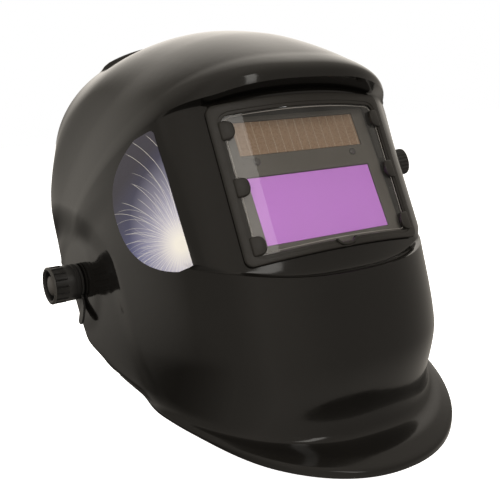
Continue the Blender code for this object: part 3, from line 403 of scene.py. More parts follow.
def solar_look():
    """Amorphous cells: brown glass split by thin dotted silver lines."""
    made, tree, shader, coords = new_material("solar_cells_brown")
    split = add(tree, "ShaderNodeSeparateXYZ", {0: coords})
    across = zigzag(tree, maths(tree, "DIVIDE", split.outputs[0], CELL_PITCH))
    down = zigzag(tree, maths(tree, "DIVIDE", split.outputs[2], DOT_PITCH))
    line = map_range(tree, across, 0.475, 0.49, 0.0, 1.0)
    dotted = map_range(tree, down, 0.12, 0.2, 0.25, 1.0)
    amount = maths(tree, "MULTIPLY", maths(tree, "MULTIPLY", line, dotted), 0.75)
    brown = mix_colour(tree, noise(tree, coords, 45.0, 4.0), (0.195, 0.128, 0.084), (0.215, 0.142, 0.094))
    tone = mix_colour(tree, amount, brown, (0.55, 0.52, 0.46))
    paint(tree, shader, tone, noise(tree, coords, 700.0), 0.22, 0.34)
    bump(tree, shader, line, 0.00003)
    return made


def label_look():
    """Printed film: dusk blue with a white glow low at the front and sparks thrown back from it."""
    made, tree, shader, _ = new_material("label_print")
    uv = add(tree, "ShaderNodeUVMap").outputs[0]
    split = add(tree, "ShaderNodeSeparateXYZ", {0: uv})
    back, up = split.outputs[0], split.outputs[1]
    away_b = maths(tree, "SUBTRACT", back, GLOW_PLACE[0])
    away_u = maths(tree, "SUBTRACT", up, GLOW_PLACE[1])
    squares = [maths(tree, "POWER", away, 2.0) for away in (away_b, away_u)]
    reach = maths(tree, "SQRT", maths(tree, "ADD", *squares))
    sky = ramp(tree, maths(tree, "ADD", up, maths(tree, "MULTIPLY", back, 0.35)), (
        (0.0, (0.13, 0.14, 0.32)), (0.42, (0.105, 0.115, 0.26)),
        (0.68, (0.066, 0.068, 0.125)), (0.98, (0.050, 0.047, 0.060)),
    ))
    haze = ramp(tree, maths(tree, "ADD", reach, maths(tree, "MULTIPLY", back, 0.30)), [
        (place, (grey, grey, grey)) for place, grey in ((0.12, 1.0), (0.27, 0.68), (0.45, 0.34), (0.70, 0.0))
    ])
    tone = mix_colour(tree, haze, sky, (0.59, 0.57, 0.66))
    angle = maths(tree, "ARCTAN2", away_u, away_b)
    for turns, bend, width, longest, seed in SPARKS:
        swirl = maths(tree, "ADD", angle, maths(tree, "MULTIPLY", maths(tree, "POWER", reach, 2.0), bend))
        spoke = maths(tree, "MULTIPLY", swirl, turns)
        which = maths(tree, "ADD", maths(tree, "FLOOR", spoke), seed)
        number = add(tree, "ShaderNodeTexWhiteNoise", {1: which}, noise_dimensions="1D").outputs[0]
        end = map_range(tree, number, 0.0, 1.0, 0.22, longest)
        thin = maths(tree, "DIVIDE", 0.010, maths(tree, "ADD", reach, 0.02))
        thick = maths(tree, "MULTIPLY", thin, turns * width)
        off_line = maths(tree, "DIVIDE", zigzag(tree, spoke), thick)
        edge = maths(tree, "SUBTRACT", 1.0, off_line, clamp=True)
        stop = map_range(tree, maths(tree, "SUBTRACT", end, reach), 0.0, 0.04, 0.0, 1.0)
        start = map_range(tree, reach, 0.05, 0.14, 0.0, 1.0)
        spark = maths(tree, "MULTIPLY", maths(tree, "MULTIPLY", edge, stop), start)
        tone = mix_colour(tree, maths(tree, "MULTIPLY", spark, 0.95), tone, (0.78, 0.76, 0.70))
    core = map_range(tree, reach, 0.05, 0.21, 1.0, 0.0)
    tone = mix_colour(tree, maths(tree, "POWER", core, 1.4), tone, (0.78, 0.755, 0.70))
    shader.inputs["Specular IOR Level"].default_value = 0.35
    grain = noise(tree, uv, 260.0, 3.0)
    paint(tree, shader, tone, grain, 0.24, 0.36)
    bump(tree, shader, grain, 0.00002)
    return made


def knit_look():
    """Brushed knitted cover: rows of small loops, fibre fuzz and sheen."""
    made, tree, shader, coords = new_material("sweatband_knit")
    shader.inputs["Sheen Weight"].default_value = 0.35
    shader.inputs["Sheen Roughness"].default_value = 0.5
    shader.inputs["Specular IOR Level"].default_value = 0.2
    rows = {"Vector": coords, "Scale": 230.0, "Distortion": 1.6, "Detail": 2.0}
    waves = [
        add(tree, "ShaderNodeTexWave", rows, bands_direction=way).outputs[1] for way in ("Z", "DIAGONAL")
    ]
    fuzz = noise(tree, coords, 1500.0, 4.0, 0.7)
    height = maths(tree, "ADD", maths(tree, "MULTIPLY", *waves), maths(tree, "MULTIPLY", fuzz, 0.5))
    tone = mix_colour(tree, height, (0.012, 0.012, 0.014), (0.060, 0.060, 0.066))
    worn = map_range(tree, noise(tree, coords, 25.0, 4.0), 0.45, 0.75, 0.0, 0.5)
    tone = mix_colour(tree, worn, tone, (0.075, 0.074, 0.078))
    paint(tree, shader, tone, fuzz, 0.82, 1.0)
    bump(tree, shader, height, 0.0004)
    return made


def board_look():
    """Green lacquered board with darker copper tracks under the lacquer."""
    made, tree, shader, coords = new_material("circuit_lacquer")
    tracks = {"Vector": coords, "Scale": 140.0, "Mortar Size": 0.06}
    brick = add(tree, "ShaderNodeTexBrick", tracks).outputs[1]
    tone = mix_colour(tree, brick, (0.020, 0.115, 0.045), (0.035, 0.165, 0.060))
    stain = map_range(tree, noise(tree, coords, 90.0), 0.4, 0.7, 0.0, 0.4)
    tone = mix_colour(tree, stain, tone, (0.015, 0.08, 0.03))
    paint(tree, shader, tone, noise(tree, coords, 600.0), 0.3, 0.5)
    bump(tree, shader, brick, 0.00008)
    return made


def make_looks():
    looks = {
        "shell": shell_look(),
        "lens": lens_look(),
        "filter": filter_look(),
        "solar": solar_look(),
        "board": board_look(),
        "label": label_look(),
        "knit": knit_look(),
    }
    # material, colour, roughness, scale and depth of the grain, mottle, and the rest
    plain = {
        "inside": ("shell_inside", (0.018, 0.017, 0.016), 0.48, (900.0, 0.00008), 0.25, {}),
        "frame": (
            "lens_frame_satin", (0.0125, 0.0112, 0.0096), 0.42, (1500.0, 0.00004), 0.2, {"scuffs": 0.10}
        ),
        # the lens edge bead: a real edge, but its pale colour is a painted highlight along it
        "lens_edge": ("lens_polished_edge", (0.17, 0.16, 0.148), 0.22, (900.0, 0.00001), 0.25, {"coat": 0.5}),
        "cartridge": ("cartridge_satin", (0.072, 0.066, 0.060), 0.5, (1300.0, 0.00005), 0.12, {}),
        "sensor": ("sensor_gloss", (0.045, 0.042, 0.042), 0.2, (800.0, 0.00001), 0.3, {"coat": 0.5}),
        "steel": (
            "nickel_plate", (0.56, 0.55, 0.53), 0.33, (700.0, 0.00003), 0.1, {"metallic": 1.0, "scuffs": 0.2}
        ),
        "inner": ("holder_grained", (0.028, 0.027, 0.026), 0.55, (900.0, 0.0001), 0.2, {}),
        "knob": ("knob_satin", (0.0085, 0.008, 0.0075), 0.36, (1300.0, 0.00004), 0.3, {"scuffs": 0.35}),
        "worn": ("knob_worn_edge", (0.030, 0.028, 0.025), 0.34, (1100.0, 0.00005), 0.3, {"scuffs": 0.6}),
        "cap": ("cap_satin_grey", (0.056, 0.051, 0.046), 0.40, (1100.0, 0.00003), 0.12, {"scuffs": 0.1}),
        "fibre": ("washer_fibre", (0.19, 0.115, 0.06), 0.8, (1500.0, 0.0001), 0.35, {}),
        "rubber": ("lead_rubber", (0.017, 0.017, 0.017), 0.62, (1200.0, 0.00006), 0.3, {}),
        "band": ("band_nylon", (0.022, 0.022, 0.022), 0.44, (1000.0, 0.00007), 0.25, {"scuffs": 0.12}),
    }
    for key, (*values, rest) in plain.items():
        looks[key] = surface(*values, **rest)
    return looks


# ---------------------------------------------------------------- mesh helpers

def new_piece(name, bm, looks, body, nodes, space=WINDOW, sharp=35.0):
    """A piece from a bmesh in millimetres in a local frame.  looks is a material or a list of them."""
    bmesh.ops.transform(bm, matrix=Matrix.Scale(MM, 4) @ space, verts=bm.verts)
    mesh = bpy.data.meshes.new(name)
    bm.to_mesh(mesh)
    bm.free()
    mesh.shade_smooth()
    mesh.set_sharp_from_angle(angle=math.radians(sharp))
    for look in looks if isinstance(looks, list) else [looks]:
        mesh.materials.append(look)
    made = link(name, mesh)
    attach(made, body)
    if nodes:
        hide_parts(*nodes)
    return made


def outward(bm):
    bmesh.ops.recalc_face_normals(bm, faces=bm.faces)
    return bm


def settle(made):
    """Applies the piece's modifiers."""
    graph = bpy.context.evaluated_depsgraph_get()
    mesh = bpy.data.meshes.new_from_object(made.evaluated_get(graph))
    made.modifiers.clear()
    made.data = mesh


def carve(made, bm, space):
    """Takes a bmesh in millimetres away from the piece."""
    bmesh.ops.transform(bm, matrix=Matrix.Scale(MM, 4) @ space, verts=bm.verts)
    mesh = bpy.data.meshes.new("cutter")
    outward(bm).to_mesh(mesh)
    bm.free()
    cutter = link("cutter", mesh)
    boolean = made.modifiers.new("holes", "BOOLEAN")
    boolean.operation = "DIFFERENCE"
    boolean.solver = "EXACT"
    boolean.object = cutter
    settle(made)
    bpy.data.objects.remove(cutter, do_unlink=True)
    made.data.set_sharp_from_angle(angle=math.radians(35.0))


def refine(node, look, width=0.3, segments=2):
    """A carried-over CAD node: its edges are rounded and it gets a finished material."""
    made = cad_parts[node]
    made.data.materials.clear()
    made.data.materials.append(look)
    weld = made.modifiers.new("weld", "WELD")
    weld.merge_threshold = 0.000002
    bevel = made.modifiers.new("bevel", "BEVEL")
    bevel.width = width * MM
    bevel.segments = segments
    bevel.limit_method = "ANGLE"
    bevel.angle_limit = math.radians(32.0)
    normals = made.modifiers.new("normals", "WEIGHTED_NORMAL")
    normals.weight = 60


def bridge(bm, rings):
    """Faces from each ring of vertices to the next."""
    count = len(rings[0])
    for lower, upper in zip(rings, rings[1:]):
        for i in range(count):
            j = (i + 1) % count
            bm.faces.new((lower[i], lower[j], upper[j], upper[i]))


def border_cells(top, bottom, left, right):
    """The outline of a block of a grid, walked once round."""
    return (
        [(top, j) for j in range(left, right + 1)]
        + [(i, right) for i in range(top + 1, bottom + 1)]
        + [(bottom, j) for j in range(right - 1, left - 1, -1)]
        + [(i, left) for i in range(bottom - 1, top, -1)]
    )


def edge_wall(bm, front, back, cells):
    """Faces from one grid to the other along a closed walk of cells."""
    for (a, b), (c, d) in zip(cells, cells[1:] + cells[:1]):
        bm.faces.new((front[a][b], front[c][d], back[c][d], back[a][b]))


def sheet(bm, front, back):
    """A closed sheet between two grids of vertices."""
    for grid in (front, back):
        for near, far in zip(grid, grid[1:]):
            for j in range(len(near) - 1):
                bm.faces.new((near[j], near[j + 1], far[j + 1], far[j]))
    edge_wall(bm, front, back, border_cells(0, len(front) - 1, 0, len(front[0]) - 1))


def turned(profile, steps, flutes=(1, 0.0, 0.5)):
    """A solid turned about Z from (radius, z) or (radius, z, share) points.

    flutes are (count, depth, how much of each is ridge); share is how much of them a ring has.
    """
    bm = bmesh.new()
    count, depth, ridge = flutes
    rings = []
    for radius, z, *share in profile:
        if radius == 0.0:
            rings.append([bm.verts.new((0.0, 0.0, z))])
            continue
        ring = []
        for step in range(steps):
            angle = 2.0 * math.pi * step / steps
            turns = count * step / steps
            from_ridge = abs(turns - round(turns)) / ridge
            r = radius - depth * smoothstep(from_ridge) * (share[0] if share else 0.0)
            ring.append(bm.verts.new((r * math.cos(angle), r * math.sin(angle), z)))
        rings.append(ring)
    for lower, upper in zip(rings, rings[1:]):
        for step in range(steps):
            after = (step + 1) % steps
            places = ((lower, step), (lower, after), (upper, after), (upper, step))
            # a point on the axis stands for its whole ring
            bm.faces.new(tuple(dict.fromkeys(ring[k % len(ring)] for ring, k in places)))
    bmesh.ops.remove_doubles(bm, verts=bm.verts, dist=0.00001)
    return outward(bm)


def rod(radius, reach, steps=64):
    """A round cutter along Z."""
    return turned(((0.0, -reach), (radius, -reach), (radius, reach), (0.0, reach)), steps)


def rounded_box_outline(a_low, a_high, b_low, b_high, radius, steps=3):
    """Rounded rectangle in a, b, anticlockwise."""
    points = []
    corners = ((a_high, b_low, -90.0), (a_high, b_high, 0.0), (a_low, b_high, 90.0), (a_low, b_low, 180.0))
    for a, b, start in corners:
        centre_a = a - math.copysign(radius, a - (a_low + a_high) / 2.0)
        centre_b = b - math.copysign(radius, b - (b_low + b_high) / 2.0)
        for k in range(steps + 1):
            angle = math.radians(start + 90.0 * k / steps)
            points.append((centre_a + radius * math.cos(angle), centre_b + radius * math.sin(angle)))
    return points


def swept(stations):
    """A closed solid through stations, each a list of points; its ends are closed."""
    bm = bmesh.new()
    rings = [[bm.verts.new(point) for point in station] for station in stations]
    bridge(bm, rings)
    bm.faces.new(rings[0])
    bm.faces.new(rings[-1])
    return outward(bm)


def prism(outline, low, high):
    return swept([[(a, b, z) for a, b in outline] for z in (low, high)])


def placed(space, origin, turn):
    """The frame of a turned piece, at a place in space."""
    return space @ Matrix.Translation(origin) @ Euler(turn).to_matrix().to_4x4()


def join_bmesh(target, source):
    mesh = bpy.data.meshes.new("part")
    source.to_mesh(mesh)
    source.free()
    target.from_mesh(mesh)
    bpy.data.meshes.remove(mesh)


def arc(centre, radius, start, end, steps):
    angles = np.radians(np.linspace(start, end, steps + 1))
    return [(centre[0] + radius * math.cos(a), centre[1] + radius * math.sin(a)) for a in angles]


# ---------------------------------------------------------------- shell surface, as in the CAD

def smooth_through(knots, values, at):
    """Monotone cubic interpolation of each column of values."""
    steps = np.diff(knots)[:, None]
    slopes = np.diff(values, axis=0) / steps
    tangents = np.zeros_like(values)
    tangents[0], tangents[-1] = slopes[0], slopes[-1]
    before, after = slopes[:-1], slopes[1:]
    first, last = 2 * steps[1:] + steps[:-1], steps[1:] + 2 * steps[:-1]
    same = before * after > 0
    safe_before = np.where(same, before, 1.0)
    safe_after = np.where(same, after, 1.0)
    tangents[1:-1] = np.where(same, (first + last) / (first / safe_before + last / safe_after), 0.0)
    index = min(max(int(np.searchsorted(knots, at, side="right")) - 1, 0), len(knots) - 2)
    step = steps[index][0]
    s = (at - knots[index]) / step
    return (
        (2 * s**3 - 3 * s**2 + 1) * values[index]
        + (s**3 - 2 * s**2 + s) * step * tangents[index]
        + (3 * s**2 - 2 * s**3) * values[index + 1]
        + (s**3 - s**2) * step * tangents[index + 1]
    )


SECTION_TABLE = np.array(list(SECTIONS.values()))


def section(at):
    values = smooth_through(SECTION_TABLE[:, 0], SECTION_TABLE[:, 1:], at)
    return dict(zip(SECTION_FIELDS[1:], values))


def smoothstep(value):
    value = min(max(value, 0.0), 1.0)
    return value * value * (3.0 - 2.0 * value)


def side_share(sec, x):
    sine_squared = min(x / sec["half"], 1.0) ** sec["power"]
    return 1.0 - (1.0 - sine_squared) ** (1.0 / sec["power"])


def on_section(sec, share, side):
    x = side * sec["half"] * (1.0 - (1.0 - share) ** sec["power"]) ** (1.0 / sec["power"])
    d = sec["mid_d"] + (sec["rear_d"] - sec["mid_d"]) * share
    u = sec["mid_u"] + (sec["rear_u"] - sec["mid_u"]) * share + sec["bow"] * share * (1.0 - share)
    return Vector((x, d, u))


def press_in(point):
    """The ear panel's step and the flat around the pivot."""
    x, d, u = point
    front = max(0.0, EAR_CENTRE_D - d) / EAR_FRONT
    rise = max(0.0, u - EAR_LOW_U) / EAR_RISE
    level = front**EAR_POWER + rise**EAR_POWER
    weight = smoothstep((1.0 - level) / EAR_SOFT) * smoothstep((u + EAR_FADE_U) / 26.0)
    back = max(0.0, (d - EAR_CENTRE_D + EAR_FRONT) / EAR_FRONT)
    x -= math.copysign(EAR_INSET * weight, x)
    d += EAR_BACK * weight * min(back, 1.0) ** 2
    reach = math.hypot(d - PIVOT_D, u - PIVOT_U)
    flat = smoothstep(1.0 - (reach - PIVOT_FLAT_RADIUS) / PIVOT_BLEND)
    x += (math.copysign(PIVOT_FLAT_X, x) - x) * flat
    return Vector((x, d, u))


def panel_depth(x, u):
    beyond = max(0.0, abs(x) - BAND_X) / (CREASE_X - BAND_X)
    return PANEL_MID + (PANEL_TOP - u) * PANEL_LEAN + x * x / (2.0 * PANEL_RADIUS) + BAND_DROP * beyond**1.5


def frame_depth(x, u):
    """Front face of the lens frame."""
    return panel_depth(x, u) - FRAME_THICK


def table_direction(back, up):
    c, s = math.cos(WINDOW_TILT), math.sin(WINDOW_TILT)
    return Vector((0.0, back * c - up * s, back * s + up * c))


def shell_columns(inner, outer):
    middle = sorted({-x for x in inner} | set(inner))
    fractions = [(k + 1) / outer for k in range(outer)]
    left = [("side", -1.0, f) for f in reversed(fractions)]
    right = [("side", 1.0, f) for f in fractions]
    return left + [("front", x, 0.0) for x in middle] + right


def column_share(sec, column):
    kind, value, fraction = column
    if kind == "front":
        return side_share(sec, abs(value))
    start = side_share(sec, CREASE_X)
    return start + (1.0 - start) * fraction**1.15


def shell_point(sec, column):
    return on_section(sec, column_share(sec, column), math.copysign(1.0, column[1]))


def base_normal(at, column):
    step = 0.004
    down = shell_point(section(at + step), column) - shell_point(section(at - step), column)
    near, far = ((column[0], column[1] + shift, column[2]) for shift in (-0.5, 0.5))
    across = shell_point(section(at), far) - shell_point(section(at), near)
    return down.cross(across).normalized()


def window_row(place, column, edge):
    """A point of the recessed front.

    place is 0 or 1 across the visor's lip or the sill's ledge, or a height on the panel.
    """
    kind, x, _ = column
    fractions = {"visor": (0.012, 0.03), "sill": (0.97, 0.988)}
    if edge:
        fraction = fractions[edge][place]
    else:
        fraction = 0.06 + 0.88 * (OPENING_TOP - place) / (OPENING_TOP - OPENING_BOTTOM)
    at = VISOR_AT + (SILL_AT - VISOR_AT) * fraction
    if kind == "side" or abs(x) >= CREASE_X:
        return shell_point(section(at), column)
    fade = smoothstep((CREASE_X - abs(x)) / 30.0)
    top = shell_point(section(VISOR_AT), column)
    low = shell_point(section(SILL_AT), column)
    if edge == "visor" and place == 0:
        return top + Vector((0.0, 1.2, -VISOR_BAND)) * fade + Vector((0.0, 0.4, -0.6))
    if edge == "sill" and place == 1:
        return low + Vector((0.0, 2.0, 1.2)) * fade + Vector((0.0, 0.4, 0.6))
    if edge == "visor":
        u = top.z - VISOR_BAND * fade - 2.0
    elif edge == "sill":
        u = low.z + 2.0 + 1.5 * fade
    else:
        crease_u = shell_point(section(at), ("front", CREASE_X, 0.0)).z
        u = place + (crease_u - place) * max(0.0, abs(x) - OPENING_X) / (CREASE_X - OPENING_X)
    return Vector((x, panel_depth(x, u), u))


PANEL_LEVELS = (OPENING_TOP, 42.0, 15.0, -12.0, OPENING_BOTTOM)


def lip_row(chin_end, columns):
    edge = []
    for point, column in zip(chin_end, columns):
        beside = smoothstep((column_share(section(1.0), column) - 0.2) / 0.3)
        edge.append(point + table_direction(LIP_TUCK, -LIP_DROP) * (1.0 - 0.6 * beside))
    return edge


def key_rows(columns):
    """The CAD's rows of points, crown edge to chin lip, and the places of those on the open surface."""
    dome = list(RIB_ROWS) + list(np.linspace(0.0, VISOR_AT, 12)[1:])
    chin = list(np.linspace(SILL_AT, 1.0, 11))
    rows = [[shell_point(section(at), c) for c in columns] for at in dome]
    rows += [[window_row(k, c, "visor") for c in columns] for k in (0, 1)]
    rows += [[window_row(u, c, "") for c in columns] for u in PANEL_LEVELS]
    rows += [[window_row(k, c, "sill") for c in columns] for k in (0, 1)]
    rows += [[shell_point(section(at), c) for c in columns] for at in chin]
    rows.append(lip_row(rows[-1], columns))
    return [[press_in(point) for point in row] for row in rows], dome, chin


def grid_normals(rows):
    points = np.array([[tuple(point) for point in row] for row in rows])
    down = np.gradient(points, axis=0)
    across = np.gradient(points, axis=1)
    down[-3] = points[-3] - points[-4]
    normals = np.cross(down, across)
    return normals / np.linalg.norm(normals, axis=2, keepdims=True)


def wall_rows(rows, columns, dome_steps, panel_count):
    """The inside of the shell, one row for each key row."""
    normals = grid_normals(rows)
    upright = table_direction(0.0, 1.0)
    visor, sill, lip = dome_steps - 1, dome_steps + 2 + panel_count, len(rows) - 1
    corners = {
        visor: (VISOR_AT, (0.0, 1.0, -0.6)),
        visor + 1: (VISOR_AT, (0.0, 1.0, 1.0)),
        visor + 2: (VISOR_AT, (0.0, 1.0, 1.0)),
        sill: (SILL_AT, (0.0, 1.0, -1.0)),
        sill + 1: (SILL_AT, (0.0, 0.8, -1.0)),
        sill + 2: (SILL_AT, (0.0, 1.0, -0.7)),
    }
    inside = []
    for i, row in enumerate(rows):
        inner_row = []
        for j, point in enumerate(row):
            step = Vector(normals[i][j]) * -SHELL_WALL
            kind, x, _ = columns[j]
            between = kind == "front" and abs(x) < CREASE_X
            if i in corners and between:
                at, corner = corners[i]
                fade = smoothstep((CREASE_X - abs(x)) / 30.0)
                step = (base_normal(at, columns[j]) * -SHELL_WALL).lerp(Vector(corner) * SHELL_WALL, fade)
            elif between and visor < i < sill:
                slope = panel_depth(abs(x) + 0.5, 0.0) - panel_depth(abs(x) - 0.5, 0.0)
                step = Vector((-math.copysign(slope, x), 1.0, 0.0)).normalized() * SHELL_WALL
            elif i >= lip - 1:
                outward_normal = Vector(normals[lip - 4][j])
                level = (outward_normal - upright * outward_normal.dot(upright)).normalized()
                step = level * -SHELL_WALL
                if i == lip - 1:
                    step = step * 1.1 - upright * 1.5 * abs(level.y)
            inner_row.append(point + step)
        inside.append(inner_row)
    return inside


# ---------------------------------------------------------------- shell

def lerp_rows(first, second, share):
    return [a.lerp(b, share) for a, b in zip(first, second)]


def dense_rows(columns, keys, dome, chin):
    """Finer rows than the key ones.  Each is (place among the key rows, points)."""
    made = []
    for i, (start, end) in enumerate(zip(dome, dome[1:])):
        count = 3 if i < 2 else 5 if i < len(dome) - 3 else 14
        for k in range(count):
            at = start + (end - start) * k / count
            made.append((i + k / count, [press_in(shell_point(section(at), c)) for c in columns]))
    visor = len(dome) - 1
    panel = visor + 3
    for i, count in ((visor, 6), (visor + 1, 14), (visor + 2, 4)):
        made += [(i + k / count, lerp_rows(keys[i], keys[i + 1], k / count)) for k in range(count)]
    for i, (start, end) in enumerate(zip(PANEL_LEVELS, PANEL_LEVELS[1:])):
        for k in range(8):
            level = start + (end - start) * k / 8
            made.append((panel + i + k / 8, [press_in(window_row(level, c, "")) for c in columns]))
    last = panel + len(PANEL_LEVELS) - 1
    for i, count in ((last, 4), (last + 1, 14), (last + 2, 4)):
        made += [(i + k / count, lerp_rows(keys[i], keys[i + 1], k / count)) for k in range(count)]
    for i, (start, end) in enumerate(zip(chin, chin[1:])):
        count = 14 if i == 0 else 10 if i > len(chin) - 4 else 5
        for k in range(count):
            at = start + (end - start) * k / count
            made.append((last + 3 + i + k / count, [press_in(shell_point(section(at), c)) for c in columns]))
    lip = len(keys) - 2
    made += [(lip + k / 6, lerp_rows(keys[lip], keys[lip + 1], k / 6)) for k in range(7)]
    return made


def soften(points, places, first, last, times):
    """Rounds the folds across the rows whose places lie between first and last."""
    chosen = [i for i, place in enumerate(places) if first <= place <= last and 0 < i < len(places) - 1]
    low, high = chosen[0], chosen[-1] + 1
    for _ in range(times):
        before, after = points[low - 1:high - 1], points[low + 1:high + 1]
        points[low:high] = (before + 2.0 * points[low:high] + after) / 4.0


def raise_rib(points, places, columns):
    """The stiffening rib along the crown's rear edge, with rounded edges."""
    for i, place in enumerate(places):
        if place >= 2.0:
            break
        share = 1.0 if place <= 1.0 else 1.0 - smoothstep(place - 1.0)
        at = float(np.interp(place, (0.0, 1.0, 2.0), RIB_ROWS))
        crown = 1.0 - 0.25 * (2.0 * min(place, 1.0) - 1.0) ** 2
        for j, column in enumerate(columns):
            if column[0] == "front" and abs(column[1]) < RIB_END_X:
                rise = RIB_HEIGHT * crown * share * smoothstep((RIB_END_X - abs(column[1])) / RIB_FADE)
                points[i, j] += np.array(base_normal(at, column)) * rise


def soften_creases(outer, columns, rows):
    """Rounds the front panel's two upright creases."""
    for _ in range(4):
        for j, column in enumerate(columns):
            if column[0] == "front" and abs(abs(column[1]) - CREASE_X) < 0.01:
                block = outer[rows, j - 4:j + 5]
                outer[rows, slice(j - 3, j + 4)] = (block[:, :-2] + 2.0 * block[:, 1:-1] + block[:, 2:]) / 4.0


def build_shell(looks):
    """The shell, finer than the CAD's and with rounded folds.  Returns a tree of its outer surface."""
    inner = [4.0 * k for k in range(15)] + [60.0 + 1.325 * k for k in range(21)]
    inner[-1] = CREASE_X
    columns = shell_columns(tuple(inner), 52)
    keys, dome, chin = key_rows(columns)
    wall = wall_rows(keys, columns, len(dome), len(PANEL_LEVELS))
    dense = dense_rows(columns, keys, dome, chin)
    places = [place for place, _ in dense]
    outer = np.array([[tuple(point) for point in row] for _, row in dense])
    visor, sill, lip = len(dome) - 1, len(dome) + 2 + len(PANEL_LEVELS), len(keys) - 2
    soften(outer, places, visor - 0.5, visor + 0.7, 8)
    soften(outer, places, visor + 1.7, visor + 3.4, 5)
    soften(outer, places, sill - 1.4, sill + 0.3, 5)
    soften(outer, places, sill + 0.4, sill + 1.6, 8)
    soften(outer, places, lip - 0.5, lip + 0.8, 5)
    raise_rib(outer, places, columns)
    front = [i for i, place in enumerate(places) if visor + 1.2 < place < sill + 0.2]
    soften_creases(outer, columns, front)

    inside = []
    for place in places:
        i = min(int(place), len(keys) - 2)
        inside.append([tuple(p) for p in lerp_rows(wall[i], wall[i + 1], place - i)])

    bm = bmesh.new()
    grids = [[[bm.verts.new(p) for p in row] for row in grid] for grid in (outer.tolist(), inside)]
    rows, count = len(places), len(columns)
    top, bottom = (
        next(i for i, place in enumerate(places) if abs(place - level) < 1e-6)
        for level in (visor + 3, sill - 1)
    )
    left, right = (
        next(j for j, c in enumerate(columns) if c[:2] == ("front", x)) for x in (-OPENING_X, OPENING_X)
    )
    for k, grid in enumerate(grids):
        for i in range(rows - 1):
            for j in range(count - 1):
                if top <= i < bottom and left <= j < right:
                    continue
                face = bm.faces.new((grid[i][j], grid[i][j + 1], grid[i + 1][j + 1], grid[i + 1][j]))
                face.material_index = k
    edge_wall(bm, *grids, border_cells(0, rows - 1, 0, count - 1))
    edge_wall(bm, *grids, border_cells(top, bottom, left, right))
    tree = BVHTree.FromPolygons(
        [tuple(p) for row in outer for p in row],
        [(i * count + j, (i + 1) * count + j, (i + 1) * count + j + 1, i * count + j + 1)
         for i in range(rows - 1) for j in range(count - 1)],
    )
    look_pair = [looks["shell"], looks["inside"]]
    body = new_piece("shell_body", outward(bm), look_pair, "shell", ["shell"], sharp=48.0)
    for sign in (1.0, -1.0):
        space = placed(HEAD, (sign * PIVOT_FLAT_X, 0.0, 0.0), (0.0, math.radians(90.0) * sign, 0.0))
        carve(body, rod(BOLT_HOLE, 8.0), space)
    carve(body, rod(SHADE_HOLE, 8.0), shade_space(tree))
    return tree


def build_label(tree, looks):
    """D-shaped sticker on the right temple.  Its UVs are its own d and u, LABEL_UNIT mm to the unit."""
    middle = (LABEL_TOP + LABEL_BOTTOM) / 2.0 + 4.0
    bm = bmesh.new()
    uv_layer = bm.loops.layers.uv.new("print")
    front, back, uvs = [], [], {}
    for u in (LABEL_TOP, *np.linspace(LABEL_TOP - 0.4, LABEL_BOTTOM + 0.4, 60), LABEL_BOTTOM):
        reach = (LABEL_TOP - middle) if u > middle else (middle - LABEL_BOTTOM)
        bulge = (1.0 - min(abs(u - middle) / (reach + 2.0), 1.0) ** 2.3) ** 0.68
        round_top = max(0.0, 1.0 - (LABEL_TOP - u) / 3.0)
        start = panel_depth(CREASE_X, u) + LABEL_FRONT + 2.2 * (1.0 - math.sqrt(1.0 - round_top**2))
        end = start + 1.5 + (LABEL_REAR - start) * bulge
        outer_row, inner_row = [], []
        for s in np.linspace(0.0, 1.0, 40):
            d = start + (end - start) * s
            hit, normal = tree.ray_cast(Vector((-200.0, d, u)), Vector((1.0, 0.0, 0.0)))[:2]
            normal = normal if normal.x < 0.0 else -normal
            outer_row.append(bm.verts.new(hit + normal * 0.35))
            inner_row.append(bm.verts.new(hit + normal * 0.05))
            print_place = ((d + 2.0) / LABEL_UNIT, (u - LABEL_BOTTOM) / LABEL_UNIT)
            uvs[outer_row[-1]] = uvs[inner_row[-1]] = print_place
        front.append(outer_row)
        back.append(inner_row)
    sheet(bm, front, back)
    for face in bm.faces:
        for loop in face.loops:
            loop[uv_layer].uv = uvs[loop.vert]
    new_piece("label_film", outward(bm), looks["label"], "shell", ["label_right"])


# ---------------------------------------------------------------- front window

def lens_frame_outlines():
    """Matching outer and inner outlines, walked from the lower left corner anticlockwise."""
    outer, inner = [], []
    run = np.linspace(-VIEW_X + FRAME_CORNER, VIEW_X - FRAME_CORNER, 41)
    notch = np.linspace(-NOTCH_HALF, NOTCH_HALF, 19)
    for x in sorted([x for x in run if abs(x) > NOTCH_HALF + 1.0] + list(notch)):
        dip = NOTCH_DEPTH * math.sqrt(max(0.0, 1.0 - (x / NOTCH_HALF) ** 2))
        inner.append((x, VIEW_BOTTOM - dip))
        outer.append((x, FRAME_BOTTOM))
    corner = FRAME_CORNER
    low, high = VIEW_BOTTOM + corner, VIEW_TOP - corner
    side = np.linspace(low, high, 36)
    outer_side = np.linspace(FRAME_BOTTOM + corner, FRAME_TOP - corner, 36)
    inner += arc((VIEW_X - corner, low), corner, -90, 0, 8)[1:-1]
    outer += arc((FRAME_X - corner, FRAME_BOTTOM + corner), corner, -90, 0, 8)[1:-1]
    inner += [(VIEW_X, u) for u in side]
    outer += [(FRAME_X, u) for u in outer_side]
    inner += arc((VIEW_X - corner, high), corner, 0, 90, 8)[1:-1]
    outer += arc((FRAME_X - corner, FRAME_TOP - corner), corner, 0, 90, 8)[1:-1]
    inner += [(x, VIEW_TOP) for x in reversed(run)]
    outer += [(x, FRAME_TOP) for x in reversed(run)]
    inner += arc((-VIEW_X + corner, high), corner, 90, 180, 8)[1:-1]
    outer += arc((-FRAME_X + corner, FRAME_TOP - corner), corner, 90, 180, 8)[1:-1]
    inner += [(-VIEW_X, u) for u in reversed(side)]
    outer += [(-FRAME_X, u) for u in reversed(outer_side)]
    inner += arc((-VIEW_X + corner, low), corner, 180, 270, 8)[1:-1]
    outer += arc((-FRAME_X + corner, FRAME_BOTTOM + corner), corner, 180, 270, 8)[1:-1]
    return outer, inner


